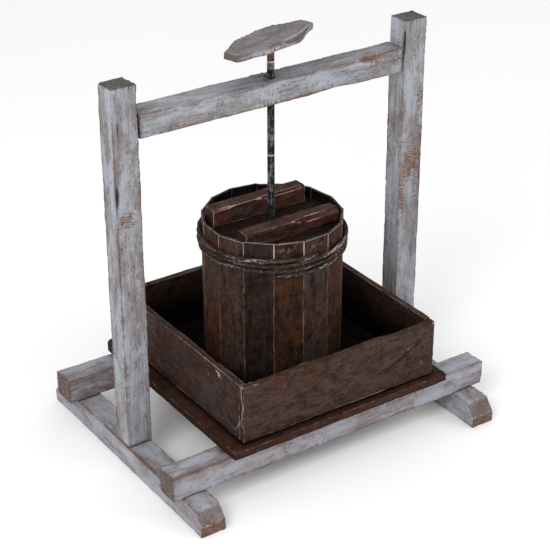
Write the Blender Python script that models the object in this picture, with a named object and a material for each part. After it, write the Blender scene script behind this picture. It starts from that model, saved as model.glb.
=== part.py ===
"""Table-top apple press, built as an assembly of separate pieces.

Two posts on two feet carry a crossbar.  A nut let into the crossbar drives a hand-turned
screw, which pushes a round press plate down into a roped stave barrel.  The barrel stands in
a board tray that catches the juice, on two beams laid across the feet.

Units are metres.  +Z is up, +X runs along the crossbar and -Y is the front.  The origin is on
the floor under the screw's axis.  Pieces that touch keep a gap of GAP between their meshes.
"""

import math

import bmesh
import bpy
from mathutils import Matrix, Vector

GAP = 0.0003

# Frame: posts, feet and crossbar are cut from one batten of 38 by 34 mm.
BATTEN_WIDTH = 0.038
BATTEN_DEPTH = 0.034
POST_X = 0.2245
LEFT_POST_TOP = 0.550
RIGHT_POST_TOP = 0.548
TENON_SHOULDER = 0.010
TENON_LENGTH = 0.024

FOOT_HALF_LENGTH = 0.201
FOOT_HEIGHT = 0.035
FOOT_TIP_HEIGHT = 0.0147
FOOT_BEVEL = 0.016

CROSSBAR_BOTTOM = 0.4755
CROSSBAR_TOP = 0.5112

BEAM_HALF_LENGTH = 0.258
BEAM_TOP = 0.072
FRONT_BEAM_Y = (-0.157, -0.122)
REAR_BEAM_Y = (0.1245, 0.163)

# Tray: the bottom board stands out as a ledge all round the four walls.
TRAY_BOARD_X = (-0.171, 0.180)
TRAY_BOARD_Y = (-0.169, 0.180)
TRAY_BOARD_BOTTOM = BEAM_TOP + GAP
TRAY_BOARD_TOP = TRAY_BOARD_BOTTOM + 0.012
TRAY_WALL_X = (-0.149, 0.165)
TRAY_WALL_Y = (-0.156, 0.163)
TRAY_WALL_TOP = 0.1685
TRAY_WALL_THICKNESS = 0.010

# Barrel: flat staves round a base disc, bound near the rim by three turns of rope.
STAVE_COUNT = 15
STAVE_THICKNESS = 0.004
STAVE_SEAM_ANGLE = math.radians(-123.0)
BARREL_X = 0.002
BARREL_RADIUS = 0.0975
BARREL_RIM = 0.314
RIM_UNEVENNESS = 0.001
BASE_THICKNESS = 0.010
ROPE_DIAMETER = 0.0064
ROPE_TURNS = 3
ROPE_PITCH = 0.0071
ROPE_LOW = 0.2695
ROPE_SAG = 0.004

# Press head: a disc with two battens, which slides down inside the barrel.
PLATE_RADIUS = 0.0895
PLATE_TOP = 0.301
PLATE_THICKNESS = 0.014
PLATE_CHAMFER = 0.0015
FRONT_BAR = {"x": (-0.0730, 0.0765), "y": (-0.0510, -0.0285), "top": 0.321}
REAR_BAR = {"x": (-0.0760, 0.0740), "y": (0.0250, 0.0470), "top": 0.327}

# Screw: an M10 rod of 1.5 mm pitch, with its two ends turned down to 8 mm.
ROD_RADIUS = 0.005
SPIGOT_RADIUS = 0.004
SPIGOT_BORE = SPIGOT_RADIUS + GAP
WASHER_RADIUS = 0.012
WASHER_THICKNESS = 0.0025
LOCK_NUT_RADIUS = 0.0075
LOCK_NUT_HEIGHT = 0.0065
ROD_CHAMFER = 0.001
ROD_TAIL = 0.003

# Handle: a long leaf with blunt ends, drawn with its length along X before it is turned.
HANDLE_BOTTOM = 0.553
HANDLE_THICKNESS = 0.010
HANDLE_ANGLE = math.radians(17.6)
HANDLE_OUTLINE = (
    (-0.082, -0.014),
    (-0.038, -0.029),
    (0.030, -0.030),
    (0.080, -0.012),
    (0.080, 0.011),
    (0.036, 0.032),
    (-0.034, 0.032),
    (-0.082, 0.011),
)
HANDLE_REAR_EDGE = 0.032
HANDLE_SOCKET_DEPTH = 0.007
HANDLE_PIN_RADIUS = 0.00125
HANDLE_PIN_LEVEL = 0.0038
HANDLE_PIN_BEYOND_ROD = 0.008
HANDLE_PIN_SUNK = 0.001

# Press nut: a plate and boss let into the underside of the crossbar.
NUT_HALF_LENGTH = 0.024
NUT_HALF_WIDTH = 0.012
NUT_PLATE_THICKNESS = 0.003
NUT_BOSS_RADIUS = 0.009
NUT_BOSS_HEIGHT = 0.010
NUT_BORE = 0.0054
CROSSBAR_BORE = 0.0058
NUT_SCREW_X = 0.0175
NUT_SCREW_HEAD = 0.0036
NUT_SCREW_SHANK = 0.0017
NUT_SCREW_CONE = 0.0022
NUT_SCREW_LENGTH = 0.014

# Round-headed wood screws, driven up through the feet into the beams.
BEAM_SCREW_HEAD = 0.0045
BEAM_SCREW_HEAD_HEIGHT = 0.003
BEAM_SCREW_SHANK = 0.002
BEAM_SCREW_SEAT = 0.008
BEAM_SCREW_TIP = 0.058

# Wire nails: where the underside of the head lies, which way the point goes, and the length.
NAIL_HEAD_RADIUS = 0.003
NAIL_HEAD_HEIGHT = 0.0012
NAIL_SHANK_RADIUS = 0.0012
NAIL_HEAD_SINK = 0.0024
TRAY_NAIL = {"head": TRAY_BOARD_TOP + GAP, "way": -1, "length": 0.034}
WALL_NAIL = {"head": TRAY_BOARD_BOTTOM + NAIL_HEAD_SINK, "way": 1, "length": 0.036}
BAR_NAIL = {"head": PLATE_TOP - PLATE_THICKNESS + NAIL_HEAD_SINK, "way": 1, "length": 0.026}
TRAY_NAIL_X = (-0.110, 0.120)
WALL_NAIL_X = (-0.095, 0.110)
BAR_NAIL_X = (-0.042, 0.046)

POINT_LENGTH = 0.003
POINT_SHARPNESS = 0.3
OVERCUT = 0.01
ROUND_SIDES = 24
SMALL_SIDES = 12
PLATE_SIDES = 48


def make_material(name, colour, roughness, metallic=0.0):
    """A plain Principled material."""
    material = bpy.data.materials.new(name)
    material.use_nodes = True
    shader = material.node_tree.nodes["Principled BSDF"]
    shader.inputs["Base Color"].default_value = (*colour, 1.0)
    shader.inputs["Roughness"].default_value = roughness
    shader.inputs["Metallic"].default_value = metallic
    return material


def make_empty(name, location):
    """An empty on a joint's axis, which carries the pieces that move with the joint."""
    empty = bpy.data.objects.new(name, None)
    empty.location = location
    bpy.context.scene.collection.objects.link(empty)
    return empty


def add_part(name, bm, location, material, parent=None, smooth=False):
    """Turn a bmesh built about the part's own origin into a named object."""
    bmesh.ops.recalc_face_normals(bm, faces=bm.faces)
    mesh = bpy.data.meshes.new(name)
    bm.to_mesh(mesh)
    bm.free()
    if smooth:
        mesh.shade_smooth()
        mesh.set_sharp_from_angle(angle=math.radians(35.0))
    mesh.materials.append(material)
    part = bpy.data.objects.new(name, mesh)
    part.location = location
    if parent is not None:
        part.location = Vector(location) - parent.location
        part.parent = parent
    bpy.context.scene.collection.objects.link(part)
    return part


def use_as_tool(part, tool, operation):
    """Hide a tool and let it cut or join the part."""
    tool.hide_render = True
    tool.display_type = "WIRE"
    boolean = part.modifiers.new(operation.lower(), "BOOLEAN")
    boolean.operation = operation
    boolean.object = tool


def cut(part, tools):
    """Subtract tools, given as (bmesh, world location) pairs that don't meet each other."""
    joined = bmesh.new()
    for bm, location in tools:
        bmesh.ops.recalc_face_normals(bm, faces=bm.faces)
        bmesh.ops.translate(bm, vec=location, verts=bm.verts)
        scrap = bpy.data.meshes.new("scrap")
        bm.to_mesh(scrap)
        bm.free()
        joined.from_mesh(scrap)
        bpy.data.meshes.remove(scrap)
    mesh = bpy.data.meshes.new("cutter_" + part.name)
    joined.to_mesh(mesh)
    joined.free()
    cutter = bpy.data.objects.new("cutter_" + part.name, mesh)
    bpy.context.scene.collection.objects.link(cutter)
    use_as_tool(part, cutter, "DIFFERENCE")


def block(size_x, size_y, size_z):
    """A rectangular block about the origin."""
    bm = bmesh.new()
    bmesh.ops.create_cube(bm, size=1.0)
    bmesh.ops.scale(bm, vec=(size_x, size_y, size_z), verts=bm.verts)
    return bm


def block_between(x, y, z):
    """A rectangular block and its centre, from its (low, high) pair along each axis."""
    bm = block(x[1] - x[0], y[1] - y[0], z[1] - z[0])
    return bm, Vector(((x[0] + x[1]) / 2, (y[0] + y[1]) / 2, (z[0] + z[1]) / 2))


def add_tenon(bm, direction):
    """Draw a tenon out of the block's end face that looks along direction."""
    end = max(bm.faces, key=lambda face: face.normal.dot(direction))
    bmesh.ops.inset_region(bm, faces=[end], thickness=TENON_SHOULDER, use_even_offset=True)
    pushed = bmesh.ops.extrude_face_region(bm, geom=[end])
    tip = [item for item in pushed["geom"] if isinstance(item, bmesh.types.BMVert)]
    bmesh.ops.translate(bm, vec=direction * TENON_LENGTH, verts=tip)
    bmesh.ops.delete(bm, geom=[end], context="FACES")


def prism(outline, depth):
    """Extrude an outline in the XY plane upward by depth."""
    bm = bmesh.new()
    face = bm.faces.new([bm.verts.new((x, y, 0.0)) for x, y in outline])
    pushed = bmesh.ops.extrude_face_region(bm, geom=[face])
    top = [item for item in pushed["geom"] if isinstance(item, bmesh.types.BMVert)]
    bmesh.ops.translate(bm, vec=(0.0, 0.0, depth), verts=top)
    return bm


def turned(profile, sides, hollow=False):
    """A solid of revolution about Z from (radius, height) pairs, or a ring if hollow."""
    bm = bmesh.new()
    rings = []
    for radius, height in profile:
        ring = []
        for index in range(sides):
            angle = math.tau * index / sides
            ring.append(bm.verts.new((radius * math.cos(angle), radius * math.sin(angle), height)))
        rings.append(ring)
    pairs = list(zip(rings, rings[1:]))
    if hollow:
        pairs.append((rings[-1], rings[0]))
    else:
        bm.faces.new(rings[0])
        bm.faces.new(rings[-1])
    for lower, upper in pairs:
        for index in range(sides):
            after = (index + 1) % sides
            bm.faces.new((lower[index], lower[after], upper[after], upper[index]))
    return bm


def rod_cutter(radius, low, high, sides=SMALL_SIDES):
    """A round cutter whose flats, not its corners, stand at the radius."""
    corner = radius / math.cos(math.pi / sides)
    return turned([(corner, low), (corner, high)], sides)


def washer(radius, bore, thickness):
    """A flat ring standing on its origin."""
    profile = [(bore, 0.0), (radius, 0.0), (radius, thickness), (bore, thickness)]
    return turned(profile, ROUND_SIDES, hollow=True)


def make_frame(wood, steel):
    """Feet, beams, posts and crossbar, with the screws that hold the beams down."""
    post_half = BATTEN_WIDTH / 2
    mortise_half_x = post_half - TENON_SHOULDER + GAP
    mortise_half_y = BATTEN_DEPTH / 2 - TENON_SHOULDER + GAP
    beam_lines = (("front", FRONT_BEAM_Y), ("rear", REAR_BEAM_Y))

    for side, sign, top in (("left", -1, LEFT_POST_TOP), ("right", 1, RIGHT_POST_TOP)):
        x = sign * POST_X
        flat_end = FOOT_HALF_LENGTH - FOOT_BEVEL
        outline = [
            (-FOOT_HALF_LENGTH, 0.0),
            (FOOT_HALF_LENGTH, 0.0),
            (FOOT_HALF_LENGTH, FOOT_TIP_HEIGHT),
            (flat_end, FOOT_HEIGHT),
            (-flat_end, FOOT_HEIGHT),
            (-FOOT_HALF_LENGTH, FOOT_TIP_HEIGHT),
        ]
        bm = prism(outline, BATTEN_WIDTH)
        turn = Matrix(((0, 0, 1), (1, 0, 0), (0, 1, 0)))
        bmesh.ops.rotate(bm, cent=(0, 0, 0), matrix=turn, verts=bm.verts)
        foot = add_part(side + "_foot", bm, (x - post_half, 0.0, 0.0), wood)

        mortise_floor = FOOT_HEIGHT - TENON_LENGTH
        socket = block_between(
            (x - mortise_half_x, x + mortise_half_x),
            (-mortise_half_y, mortise_half_y),
            (mortise_floor, FOOT_HEIGHT + OVERCUT),
        )
        tools = [socket]
        for _, beam_y in beam_lines:
            tools.append((beam_screw_hole(), Vector((x, sum(beam_y) / 2, 0.0))))
        cut(foot, tools)

        bottom = FOOT_HEIGHT + GAP
        bm, centre = block_between(
            (x - post_half, x + post_half), (-BATTEN_DEPTH / 2, BATTEN_DEPTH / 2), (bottom, top)
        )
        add_tenon(bm, Vector((0.0, 0.0, -1.0)))
        post = add_part(side + "_post", bm, centre, wood)
        inner_face = x - sign * post_half
        crossbar_mid = (CROSSBAR_BOTTOM + CROSSBAR_TOP) / 2
        mortise_half_z = (CROSSBAR_TOP - CROSSBAR_BOTTOM) / 2 - TENON_SHOULDER + GAP
        mortise_ends = sorted((inner_face - sign * OVERCUT, inner_face + sign * TENON_LENGTH))
        socket = block_between(
            mortise_ends,
            (-mortise_half_y, mortise_half_y),
            (crossbar_mid - mortise_half_z, crossbar_mid + mortise_half_z),
        )
        cut(post, [socket])

    for line, beam_y in beam_lines:
        beam_x = (-BEAM_HALF_LENGTH, BEAM_HALF_LENGTH)
        bm, centre = block_between(beam_x, beam_y, (FOOT_HEIGHT + GAP, BEAM_TOP))
        beam = add_part(line + "_beam", bm, centre, wood)
        tools = []
        for side, sign in (("left", -1), ("right", 1)):
            place = Vector((sign * POST_X, centre.y, 0.0))
            tools.append((beam_screw_hole(), place))
            screw_name = "beam_screw_" + line + "_" + side
            add_part(screw_name, beam_screw(), place, steel, smooth=True)
        for nail_x in TRAY_NAIL_X:
            tools.append((nail_hole(TRAY_NAIL), Vector((nail_x, centre.y, TRAY_NAIL["head"]))))
        cut(beam, tools)


def beam_screw():
    """A round-headed wood screw, driven up from a counterbore under the foot."""
    seat = BEAM_SCREW_SEAT - GAP
    profile = [
        (BEAM_SCREW_HEAD * 0.7, seat - BEAM_SCREW_HEAD_HEIGHT),
        (BEAM_SCREW_HEAD, seat - BEAM_SCREW_HEAD_HEIGHT * 0.6),
        (BEAM_SCREW_HEAD, seat),
        (BEAM_SCREW_SHANK, seat),
        (BEAM_SCREW_SHANK, BEAM_SCREW_TIP - 2 * POINT_LENGTH),
        (BEAM_SCREW_SHANK * POINT_SHARPNESS, BEAM_SCREW_TIP),
    ]
    return turned(profile, SMALL_SIDES)


def beam_screw_hole():
    """The counterbore and hole that the beam screw lies in."""
    corner = 1.0 / math.cos(math.pi / SMALL_SIDES)
    head = (BEAM_SCREW_HEAD + GAP) * corner
    shank = (BEAM_SCREW_SHANK + GAP) * corner
    profile = [
        (head, -OVERCUT),
        (head, BEAM_SCREW_SEAT),
        (shank, BEAM_SCREW_SEAT),
        (shank, BEAM_SCREW_TIP + GAP),
    ]
    return turned(profile, SMALL_SIDES)


def nail(kind):
    """A wire nail about the point where its shank meets its head."""
    way = kind["way"]
    profile = [
        (NAIL_HEAD_RADIUS, -way * NAIL_HEAD_HEIGHT),
        (NAIL_HEAD_RADIUS, 0.0),
        (NAIL_SHANK_RADIUS, 0.0),
        (NAIL_SHANK_RADIUS, way * (kind["length"] - POINT_LENGTH)),
        (NAIL_SHANK_RADIUS * POINT_SHARPNESS, way * kind["length"]),
    ]
    return turned(profile, SMALL_SIDES)


def nail_hole(kind):
    """The hole that a nail's head and shank lie in, open past the head."""
    way = kind["way"]
    corner = 1.0 / math.cos(math.pi / SMALL_SIDES)
    head = (NAIL_HEAD_RADIUS + GAP) * corner
    shank = (NAIL_SHANK_RADIUS + GAP) * corner
    profile = [
        (head, -way * OVERCUT),
        (head, way * GAP),
        (shank, way * GAP),
        (shank, way * (kind["length"] + GAP)),
    ]
    return turned(profile, SMALL_SIDES)


def make_crossbar(wood, steel):
    """The crossbar, the press nut let into its underside, and the nut's two screws."""
    end = POST_X - BATTEN_WIDTH / 2 - GAP
    bm, centre = block_between(
        (-end, end), (-BATTEN_DEPTH / 2, BATTEN_DEPTH / 2), (CROSSBAR_BOTTOM, CROSSBAR_TOP)
    )
    add_tenon(bm, Vector((-1.0, 0.0, 0.0)))
    add_tenon(bm, Vector((1.0, 0.0, 0.0)))
    bar = add_part("top_crossbar", bm, centre, wood)

    plate_top = CROSSBAR_BOTTOM + GAP + NUT_PLATE_THICKNESS
    boss_top = plate_top + NUT_BOSS_HEIGHT
    pocket = turned(
        [
            (NUT_BOSS_RADIUS + 2 * GAP, CROSSBAR_BOTTOM - OVERCUT),
            (NUT_BOSS_RADIUS + 2 * GAP, boss_top + GAP),
            (CROSSBAR_BORE, boss_top + GAP),
            (CROSSBAR_BORE, CROSSBAR_TOP + OVERCUT),
        ],
        ROUND_SIDES,
    )
    cut(bar, [(pocket, Vector((0.0, 0.0, 0.0)))])
    recess = block_between(
        (-NUT_HALF_LENGTH - GAP, NUT_HALF_LENGTH + GAP),
        (-NUT_HALF_WIDTH - GAP, NUT_HALF_WIDTH + GAP),
        (CROSSBAR_BOTTOM - OVERCUT, plate_top + GAP),
    )
    cut(bar, [recess])

    low = CROSSBAR_BOTTOM + GAP
    bm = block(2 * NUT_HALF_LENGTH, 2 * NUT_HALF_WIDTH, NUT_PLATE_THICKNESS)
    nut = add_part("screw_nut", bm, (0.0, 0.0, low + NUT_PLATE_THICKNESS / 2), steel)
    boss_low = low + NUT_PLATE_THICKNESS / 2
    boss_bm = turned([(NUT_BOSS_RADIUS, boss_low), (NUT_BOSS_RADIUS, boss_top)], ROUND_SIDES)
    boss = add_part("joined_nut_boss", boss_bm, (0.0, 0.0, 0.0), steel)
    use_as_tool(nut, boss, "UNION")
    bore = rod_cutter(NUT_BORE, low - OVERCUT, boss_top + OVERCUT, ROUND_SIDES)
    tools = [(bore, Vector((0.0, 0.0, 0.0)))]
    bar_tools = []
    for name, x in (("nut_screw_left", -NUT_SCREW_X), ("nut_screw_right", NUT_SCREW_X)):
        place = Vector((x, 0.0, low))
        add_part(name, countersunk_screw(), place, steel, smooth=True)
        tools.append((countersunk_hole(), place))
        bar_tools.append((countersunk_hole(), place))
    cut(nut, tools)
    cut(bar, bar_tools)


def countersunk_screw():
    """A small countersunk wood screw, head down at its origin."""
    profile = [
        (NUT_SCREW_HEAD, 0.0),
        (NUT_SCREW_SHANK, NUT_SCREW_CONE),
        (NUT_SCREW_SHANK, NUT_SCREW_LENGTH - POINT_LENGTH),
        (NUT_SCREW_SHANK * POINT_SHARPNESS, NUT_SCREW_LENGTH),
    ]
    return turned(profile, SMALL_SIDES)


def countersunk_hole():
    """The countersink and pilot hole round the nut's screw."""
    wider = 2 * GAP
    profile = [
        (NUT_SCREW_HEAD + wider, -OVERCUT),
        (NUT_SCREW_HEAD + wider, 0.0),
        (NUT_SCREW_SHANK + wider, NUT_SCREW_CONE),
        (NUT_SCREW_SHANK + wider, NUT_SCREW_LENGTH + GAP),
    ]
    return turned(profile, SMALL_SIDES)


def make_tray(wood, steel):
    """The bottom board, the four walls and the nails that hold them."""
    bm, centre = block_between(TRAY_BOARD_X, TRAY_BOARD_Y, (TRAY_BOARD_BOTTOM, TRAY_BOARD_TOP))
    board = add_part("tray_bottom_board", bm, centre, wood)
    board_tools = []
    for line, beam_y in (("front", FRONT_BEAM_Y), ("rear", REAR_BEAM_Y)):
        for side, x in zip(("left", "right"), TRAY_NAIL_X):
            place = Vector((x, sum(beam_y) / 2, TRAY_NAIL["head"]))
            nail_name = "tray_nail_" + line + "_" + side
            add_part(nail_name, nail(TRAY_NAIL), place, steel, smooth=True)
            board_tools.append((nail_hole(TRAY_NAIL), place))

    wall_z = (TRAY_BOARD_TOP + GAP, TRAY_WALL_TOP)
    left, right = TRAY_WALL_X
    front, rear = TRAY_WALL_Y
    thick = TRAY_WALL_THICKNESS
    side_y = (front + thick + GAP, rear - thick - GAP)
    end_nails = [(x, None) for x in WALL_NAIL_X]
    walls = {
        "front": ((left, right), (front, front + thick), end_nails),
        "rear": ((left, right), (rear - thick, rear), end_nails),
        "left": ((left, left + thick), side_y, [(None, 0.0)]),
        "right": ((right - thick, right), side_y, [(None, 0.0)]),
    }
    for name, (x, y, nails) in walls.items():
        bm, centre = block_between(x, y, wall_z)
        wall = add_part("tray_" + name + "_wall", bm, centre, wood)
        wall_tools = []
        for index, (nail_x, nail_y) in enumerate(nails, start=1):
            place_x = centre.x if nail_x is None else nail_x
            place_y = centre.y if nail_y is None else nail_y
            place = Vector((place_x, place_y, WALL_NAIL["head"]))
            nail_name = f"wall_nail_{name}_{index}"
            add_part(nail_name, nail(WALL_NAIL), place, steel, smooth=True)
            wall_tools.append((nail_hole(WALL_NAIL), place))
            board_tools.append((nail_hole(WALL_NAIL), place))
        cut(wall, wall_tools)
    cut(board, board_tools)


def seam_angle(index):
    """The angle of the seam before stave number index."""
    return STAVE_SEAM_ANGLE + math.tau * index / STAVE_COUNT


def make_barrel(wood, rope):
    """Staves, the base disc they stand round, and the rope that binds them."""
    foot = TRAY_BOARD_TOP + GAP
    step = math.tau / STAVE_COUNT
    outer_flat = BARREL_RADIUS * math.cos(step / 2)
    inner_flat = outer_flat - STAVE_THICKNESS
    outer_half = outer_flat * math.tan(step / 2) - GAP / 2
    inner_half = inner_flat * math.tan(step / 2) - GAP / 2
    for index in range(STAVE_COUNT):
        rim = BARREL_RIM + RIM_UNEVENNESS * math.sin(2.3 * index + 0.8)
        outline = [
            (inner_flat, -inner_half),
            (outer_flat, -outer_half),
            (outer_flat, outer_half),
            (inner_flat, inner_half),
        ]
        bm = prism(outline, rim - foot)
        stave = add_part(f"stave_{index + 1:02d}", bm, (BARREL_X, 0.0, foot), wood)
        stave.rotation_euler.z = seam_angle(index + 0.5)

    disc_radius = (inner_flat - GAP) / math.cos(step / 2)
    outline = []
    for index in range(STAVE_COUNT):
        angle = seam_angle(index)
        outline.append((disc_radius * math.cos(angle), disc_radius * math.sin(angle)))
    add_part("barrel_base", prism(outline, BASE_THICKNESS), (BARREL_X, 0.0, foot), wood)

    points = []
    for index in range(2 * STAVE_COUNT * ROPE_TURNS + 3):
        turns = index / (2 * STAVE_COUNT)
        angle = seam_angle(index / 2)
        wall = BARREL_RADIUS if index % 2 == 0 else outer_flat
        radius = wall + GAP + ROPE_DIAMETER / 2
        sag = ROPE_SAG * (1.0 - math.cos(angle - STAVE_SEAM_ANGLE))
        height = ROPE_LOW + ROPE_PITCH * turns + sag
        points.append((radius * math.cos(angle), radius * math.sin(angle), height))
    curve = bpy.data.curves.new("rope_hoop", "CURVE")
    curve.dimensions = "3D"
    curve.bevel_depth = ROPE_DIAMETER / 2
    curve.bevel_resolution = 2
    curve.use_fill_caps = True
    spline = curve.splines.new("POLY")
    spline.points.add(len(points) - 1)
    for target, point in zip(spline.points, points):
        target.co = (*point, 1.0)
    curve.materials.append(rope)
    hoop = bpy.data.objects.new("rope_hoop", curve)
    hoop.location = (BARREL_X, 0.0, 0.0)
    bpy.context.scene.collection.objects.link(hoop)


def make_press_head(wood, steel, travel):
    """The press plate, its two bars with their nails, and the washer the screw bears on."""
    bottom = PLATE_TOP - PLATE_THICKNESS
    profile = [
        (PLATE_RADIUS - PLATE_CHAMFER, bottom),
        (PLATE_RADIUS, bottom + PLATE_CHAMFER),
        (PLATE_RADIUS, PLATE_TOP - PLATE_CHAMFER),
        (PLATE_RADIUS - PLATE_CHAMFER, PLATE_TOP),
    ]
    disc = turned(profile, PLATE_SIDES)
    plate = add_part("press_plate", disc, (BARREL_X, 0.0, 0.0), wood, travel, smooth=True)
    seat = PLATE_TOP - WASHER_THICKNESS - GAP
    profile = [
        (SPIGOT_BORE, bottom - OVERCUT),
        (SPIGOT_BORE, seat),
        (WASHER_RADIUS + GAP, seat),
        (WASHER_RADIUS + GAP, PLATE_TOP + OVERCUT),
    ]
    plate_tools = [(turned(profile, ROUND_SIDES), Vector((0.0, 0.0, 0.0)))]
    ring = washer(WASHER_RADIUS, SPIGOT_BORE, WASHER_THICKNESS)
    place = (0.0, 0.0, PLATE_TOP - WASHER_THICKNESS)
    add_part("thrust_washer", ring, place, steel, travel, smooth=True)

    for side, bar_size in (("front", FRONT_BAR), ("rear", REAR_BAR)):
        bm, centre = block_between(
            bar_size["x"], bar_size["y"], (PLATE_TOP + GAP, bar_size["top"])
        )
        bar = add_part("press_bar_" + side, bm, centre, wood, travel)
        bar_tools = []
        for end, x in zip(("left", "right"), BAR_NAIL_X):
            place = Vector((x, centre.y, BAR_NAIL["head"]))
            nail_name = "bar_nail_" + side + "_" + end
            add_part(nail_name, nail(BAR_NAIL), place, steel, travel, smooth=True)
            bar_tools.append((nail_hole(BAR_NAIL), place))
            plate_tools.append((nail_hole(BAR_NAIL), place))
        cut(bar, bar_tools)
    cut(plate, plate_tools)


def make_screw(wood, steel, turning):
    """The rod, the handle pinned to its top, and the washer and nut under the plate."""
    shoulder = PLATE_TOP + GAP
    washer_low = PLATE_TOP - PLATE_THICKNESS - GAP - WASHER_THICKNESS
    nut_low = washer_low - GAP - LOCK_NUT_HEIGHT
    rod_end = nut_low - ROD_TAIL
    socket_top = HANDLE_BOTTOM + HANDLE_SOCKET_DEPTH
    profile = [
        (SPIGOT_RADIUS - ROD_CHAMFER, rod_end),
        (SPIGOT_RADIUS, rod_end + ROD_CHAMFER),
        (SPIGOT_RADIUS, shoulder),
        (ROD_RADIUS, shoulder),
        (ROD_RADIUS, HANDLE_BOTTOM - GAP),
        (SPIGOT_RADIUS, HANDLE_BOTTOM - GAP),
        (SPIGOT_RADIUS, socket_top - GAP),
    ]
    rod_bm = turned(profile, ROUND_SIDES)
    rod = add_part("screw_rod", rod_bm, (0.0, 0.0, 0.0), steel, turning, smooth=True)

    ring = washer(WASHER_RADIUS, SPIGOT_BORE + GAP, WASHER_THICKNESS)
    add_part("lower_washer", ring, (0.0, 0.0, washer_low), steel, turning, smooth=True)
    hexagon = turned([(LOCK_NUT_RADIUS, 0.0), (LOCK_NUT_RADIUS, LOCK_NUT_HEIGHT)], 6)
    lock_nut = add_part("lock_nut", hexagon, (0.0, 0.0, nut_low), steel, turning)
    nut_top = nut_low + LOCK_NUT_HEIGHT
    bore = rod_cutter(SPIGOT_BORE, nut_low - OVERCUT, nut_top + OVERCUT, ROUND_SIDES)
    cut(lock_nut, [(bore, Vector((0.0, 0.0, 0.0)))])

    leaf = prism(HANDLE_OUTLINE, HANDLE_THICKNESS)
    handle = add_part("handle", leaf, (0.0, 0.0, HANDLE_BOTTOM), wood, turning)
    handle.rotation_euler.z = HANDLE_ANGLE
    socket = rod_cutter(SPIGOT_BORE, HANDLE_BOTTOM - OVERCUT, socket_top, ROUND_SIDES)
    cut(handle, [(socket, Vector((0.0, 0.0, 0.0)))])

    pin_height = HANDLE_BOTTOM + HANDLE_PIN_LEVEL
    pin_tip = -SPIGOT_RADIUS - HANDLE_PIN_BEYOND_ROD
    pin_head = HANDLE_REAR_EDGE - HANDLE_PIN_SUNK
    across = Matrix.Rotation(-math.pi / 2, 3, "X")
    facing = Matrix.Rotation(HANDLE_ANGLE, 3, "Z")
    profile = [
        (HANDLE_PIN_RADIUS * 0.4, pin_tip),
        (HANDLE_PIN_RADIUS, pin_tip + 0.002),
        (HANDLE_PIN_RADIUS, pin_head),
    ]
    pin_bm = turned(profile, SMALL_SIDES)
    bmesh.ops.rotate(pin_bm, cent=(0, 0, 0), matrix=facing @ across, verts=pin_bm.verts)
    add_part("handle_pin", pin_bm, (0.0, 0.0, pin_height), steel, turning, smooth=True)
    for piece in (handle, rod):
        hole = rod_cutter(HANDLE_PIN_RADIUS + GAP, pin_tip - GAP, HANDLE_REAR_EDGE + OVERCUT)
        bmesh.ops.rotate(hole, cent=(0, 0, 0), matrix=facing @ across, verts=hole.verts)
        cut(piece, [(hole, Vector((0.0, 0.0, pin_height)))])


def main():
    """Build the whole press."""
    for item in list(bpy.data.objects):
        bpy.data.objects.remove(item, do_unlink=True)

    whitewash = make_material("whitewashed_timber", (0.44, 0.43, 0.46), 0.85)
    tray_stain = make_material("stained_tray_boards", (0.075, 0.045, 0.035), 0.62)
    stave_stain = make_material("stained_staves", (0.085, 0.050, 0.036), 0.60)
    press_stain = make_material("stained_press_wood", (0.070, 0.040, 0.032), 0.60)
    cordage = make_material("tarred_rope", (0.090, 0.070, 0.062), 0.80)
    dark_steel = make_material("dark_steel", (0.16, 0.16, 0.17), 0.45, 0.9)
    bright_steel = make_material("fastener_steel", (0.45, 0.45, 0.46), 0.40, 1.0)

    make_frame(whitewash, bright_steel)
    make_crossbar(whitewash, bright_steel)
    make_tray(tray_stain, bright_steel)
    make_barrel(stave_stain, cordage)
    travel = make_empty("press_travel_axis", (0.0, 0.0, PLATE_TOP))
    make_press_head(press_stain, bright_steel, travel)
    turning = make_empty("screw_turn_axis", (0.0, 0.0, HANDLE_BOTTOM))
    make_screw(whitewash, dark_steel, turning)


main()
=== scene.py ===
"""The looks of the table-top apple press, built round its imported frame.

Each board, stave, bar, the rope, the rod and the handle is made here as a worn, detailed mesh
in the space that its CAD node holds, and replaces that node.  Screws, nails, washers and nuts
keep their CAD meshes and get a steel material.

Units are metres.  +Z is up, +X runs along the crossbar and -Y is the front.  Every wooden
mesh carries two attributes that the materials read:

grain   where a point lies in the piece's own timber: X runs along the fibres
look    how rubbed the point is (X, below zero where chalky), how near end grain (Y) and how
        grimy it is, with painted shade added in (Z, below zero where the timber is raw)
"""

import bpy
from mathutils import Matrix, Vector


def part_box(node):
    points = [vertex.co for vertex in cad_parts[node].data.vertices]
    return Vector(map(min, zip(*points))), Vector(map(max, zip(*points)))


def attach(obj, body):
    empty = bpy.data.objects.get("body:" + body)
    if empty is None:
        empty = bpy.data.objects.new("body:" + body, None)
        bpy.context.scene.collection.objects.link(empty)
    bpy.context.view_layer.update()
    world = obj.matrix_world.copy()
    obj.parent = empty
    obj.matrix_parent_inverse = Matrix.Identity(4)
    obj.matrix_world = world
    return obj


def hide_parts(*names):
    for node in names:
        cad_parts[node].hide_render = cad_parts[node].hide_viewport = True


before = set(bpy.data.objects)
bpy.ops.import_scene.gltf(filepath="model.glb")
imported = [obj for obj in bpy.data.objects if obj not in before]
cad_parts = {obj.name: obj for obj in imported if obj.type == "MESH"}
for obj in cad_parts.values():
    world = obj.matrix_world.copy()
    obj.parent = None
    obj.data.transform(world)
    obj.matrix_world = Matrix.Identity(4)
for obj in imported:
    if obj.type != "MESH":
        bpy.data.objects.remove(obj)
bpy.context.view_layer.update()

import fnmatch
import math

import bmesh
import bpy
import numpy as np
from mathutils import Matrix, Vector

REPLACED = set()         # the CAD nodes that a piece made here stands for

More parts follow.
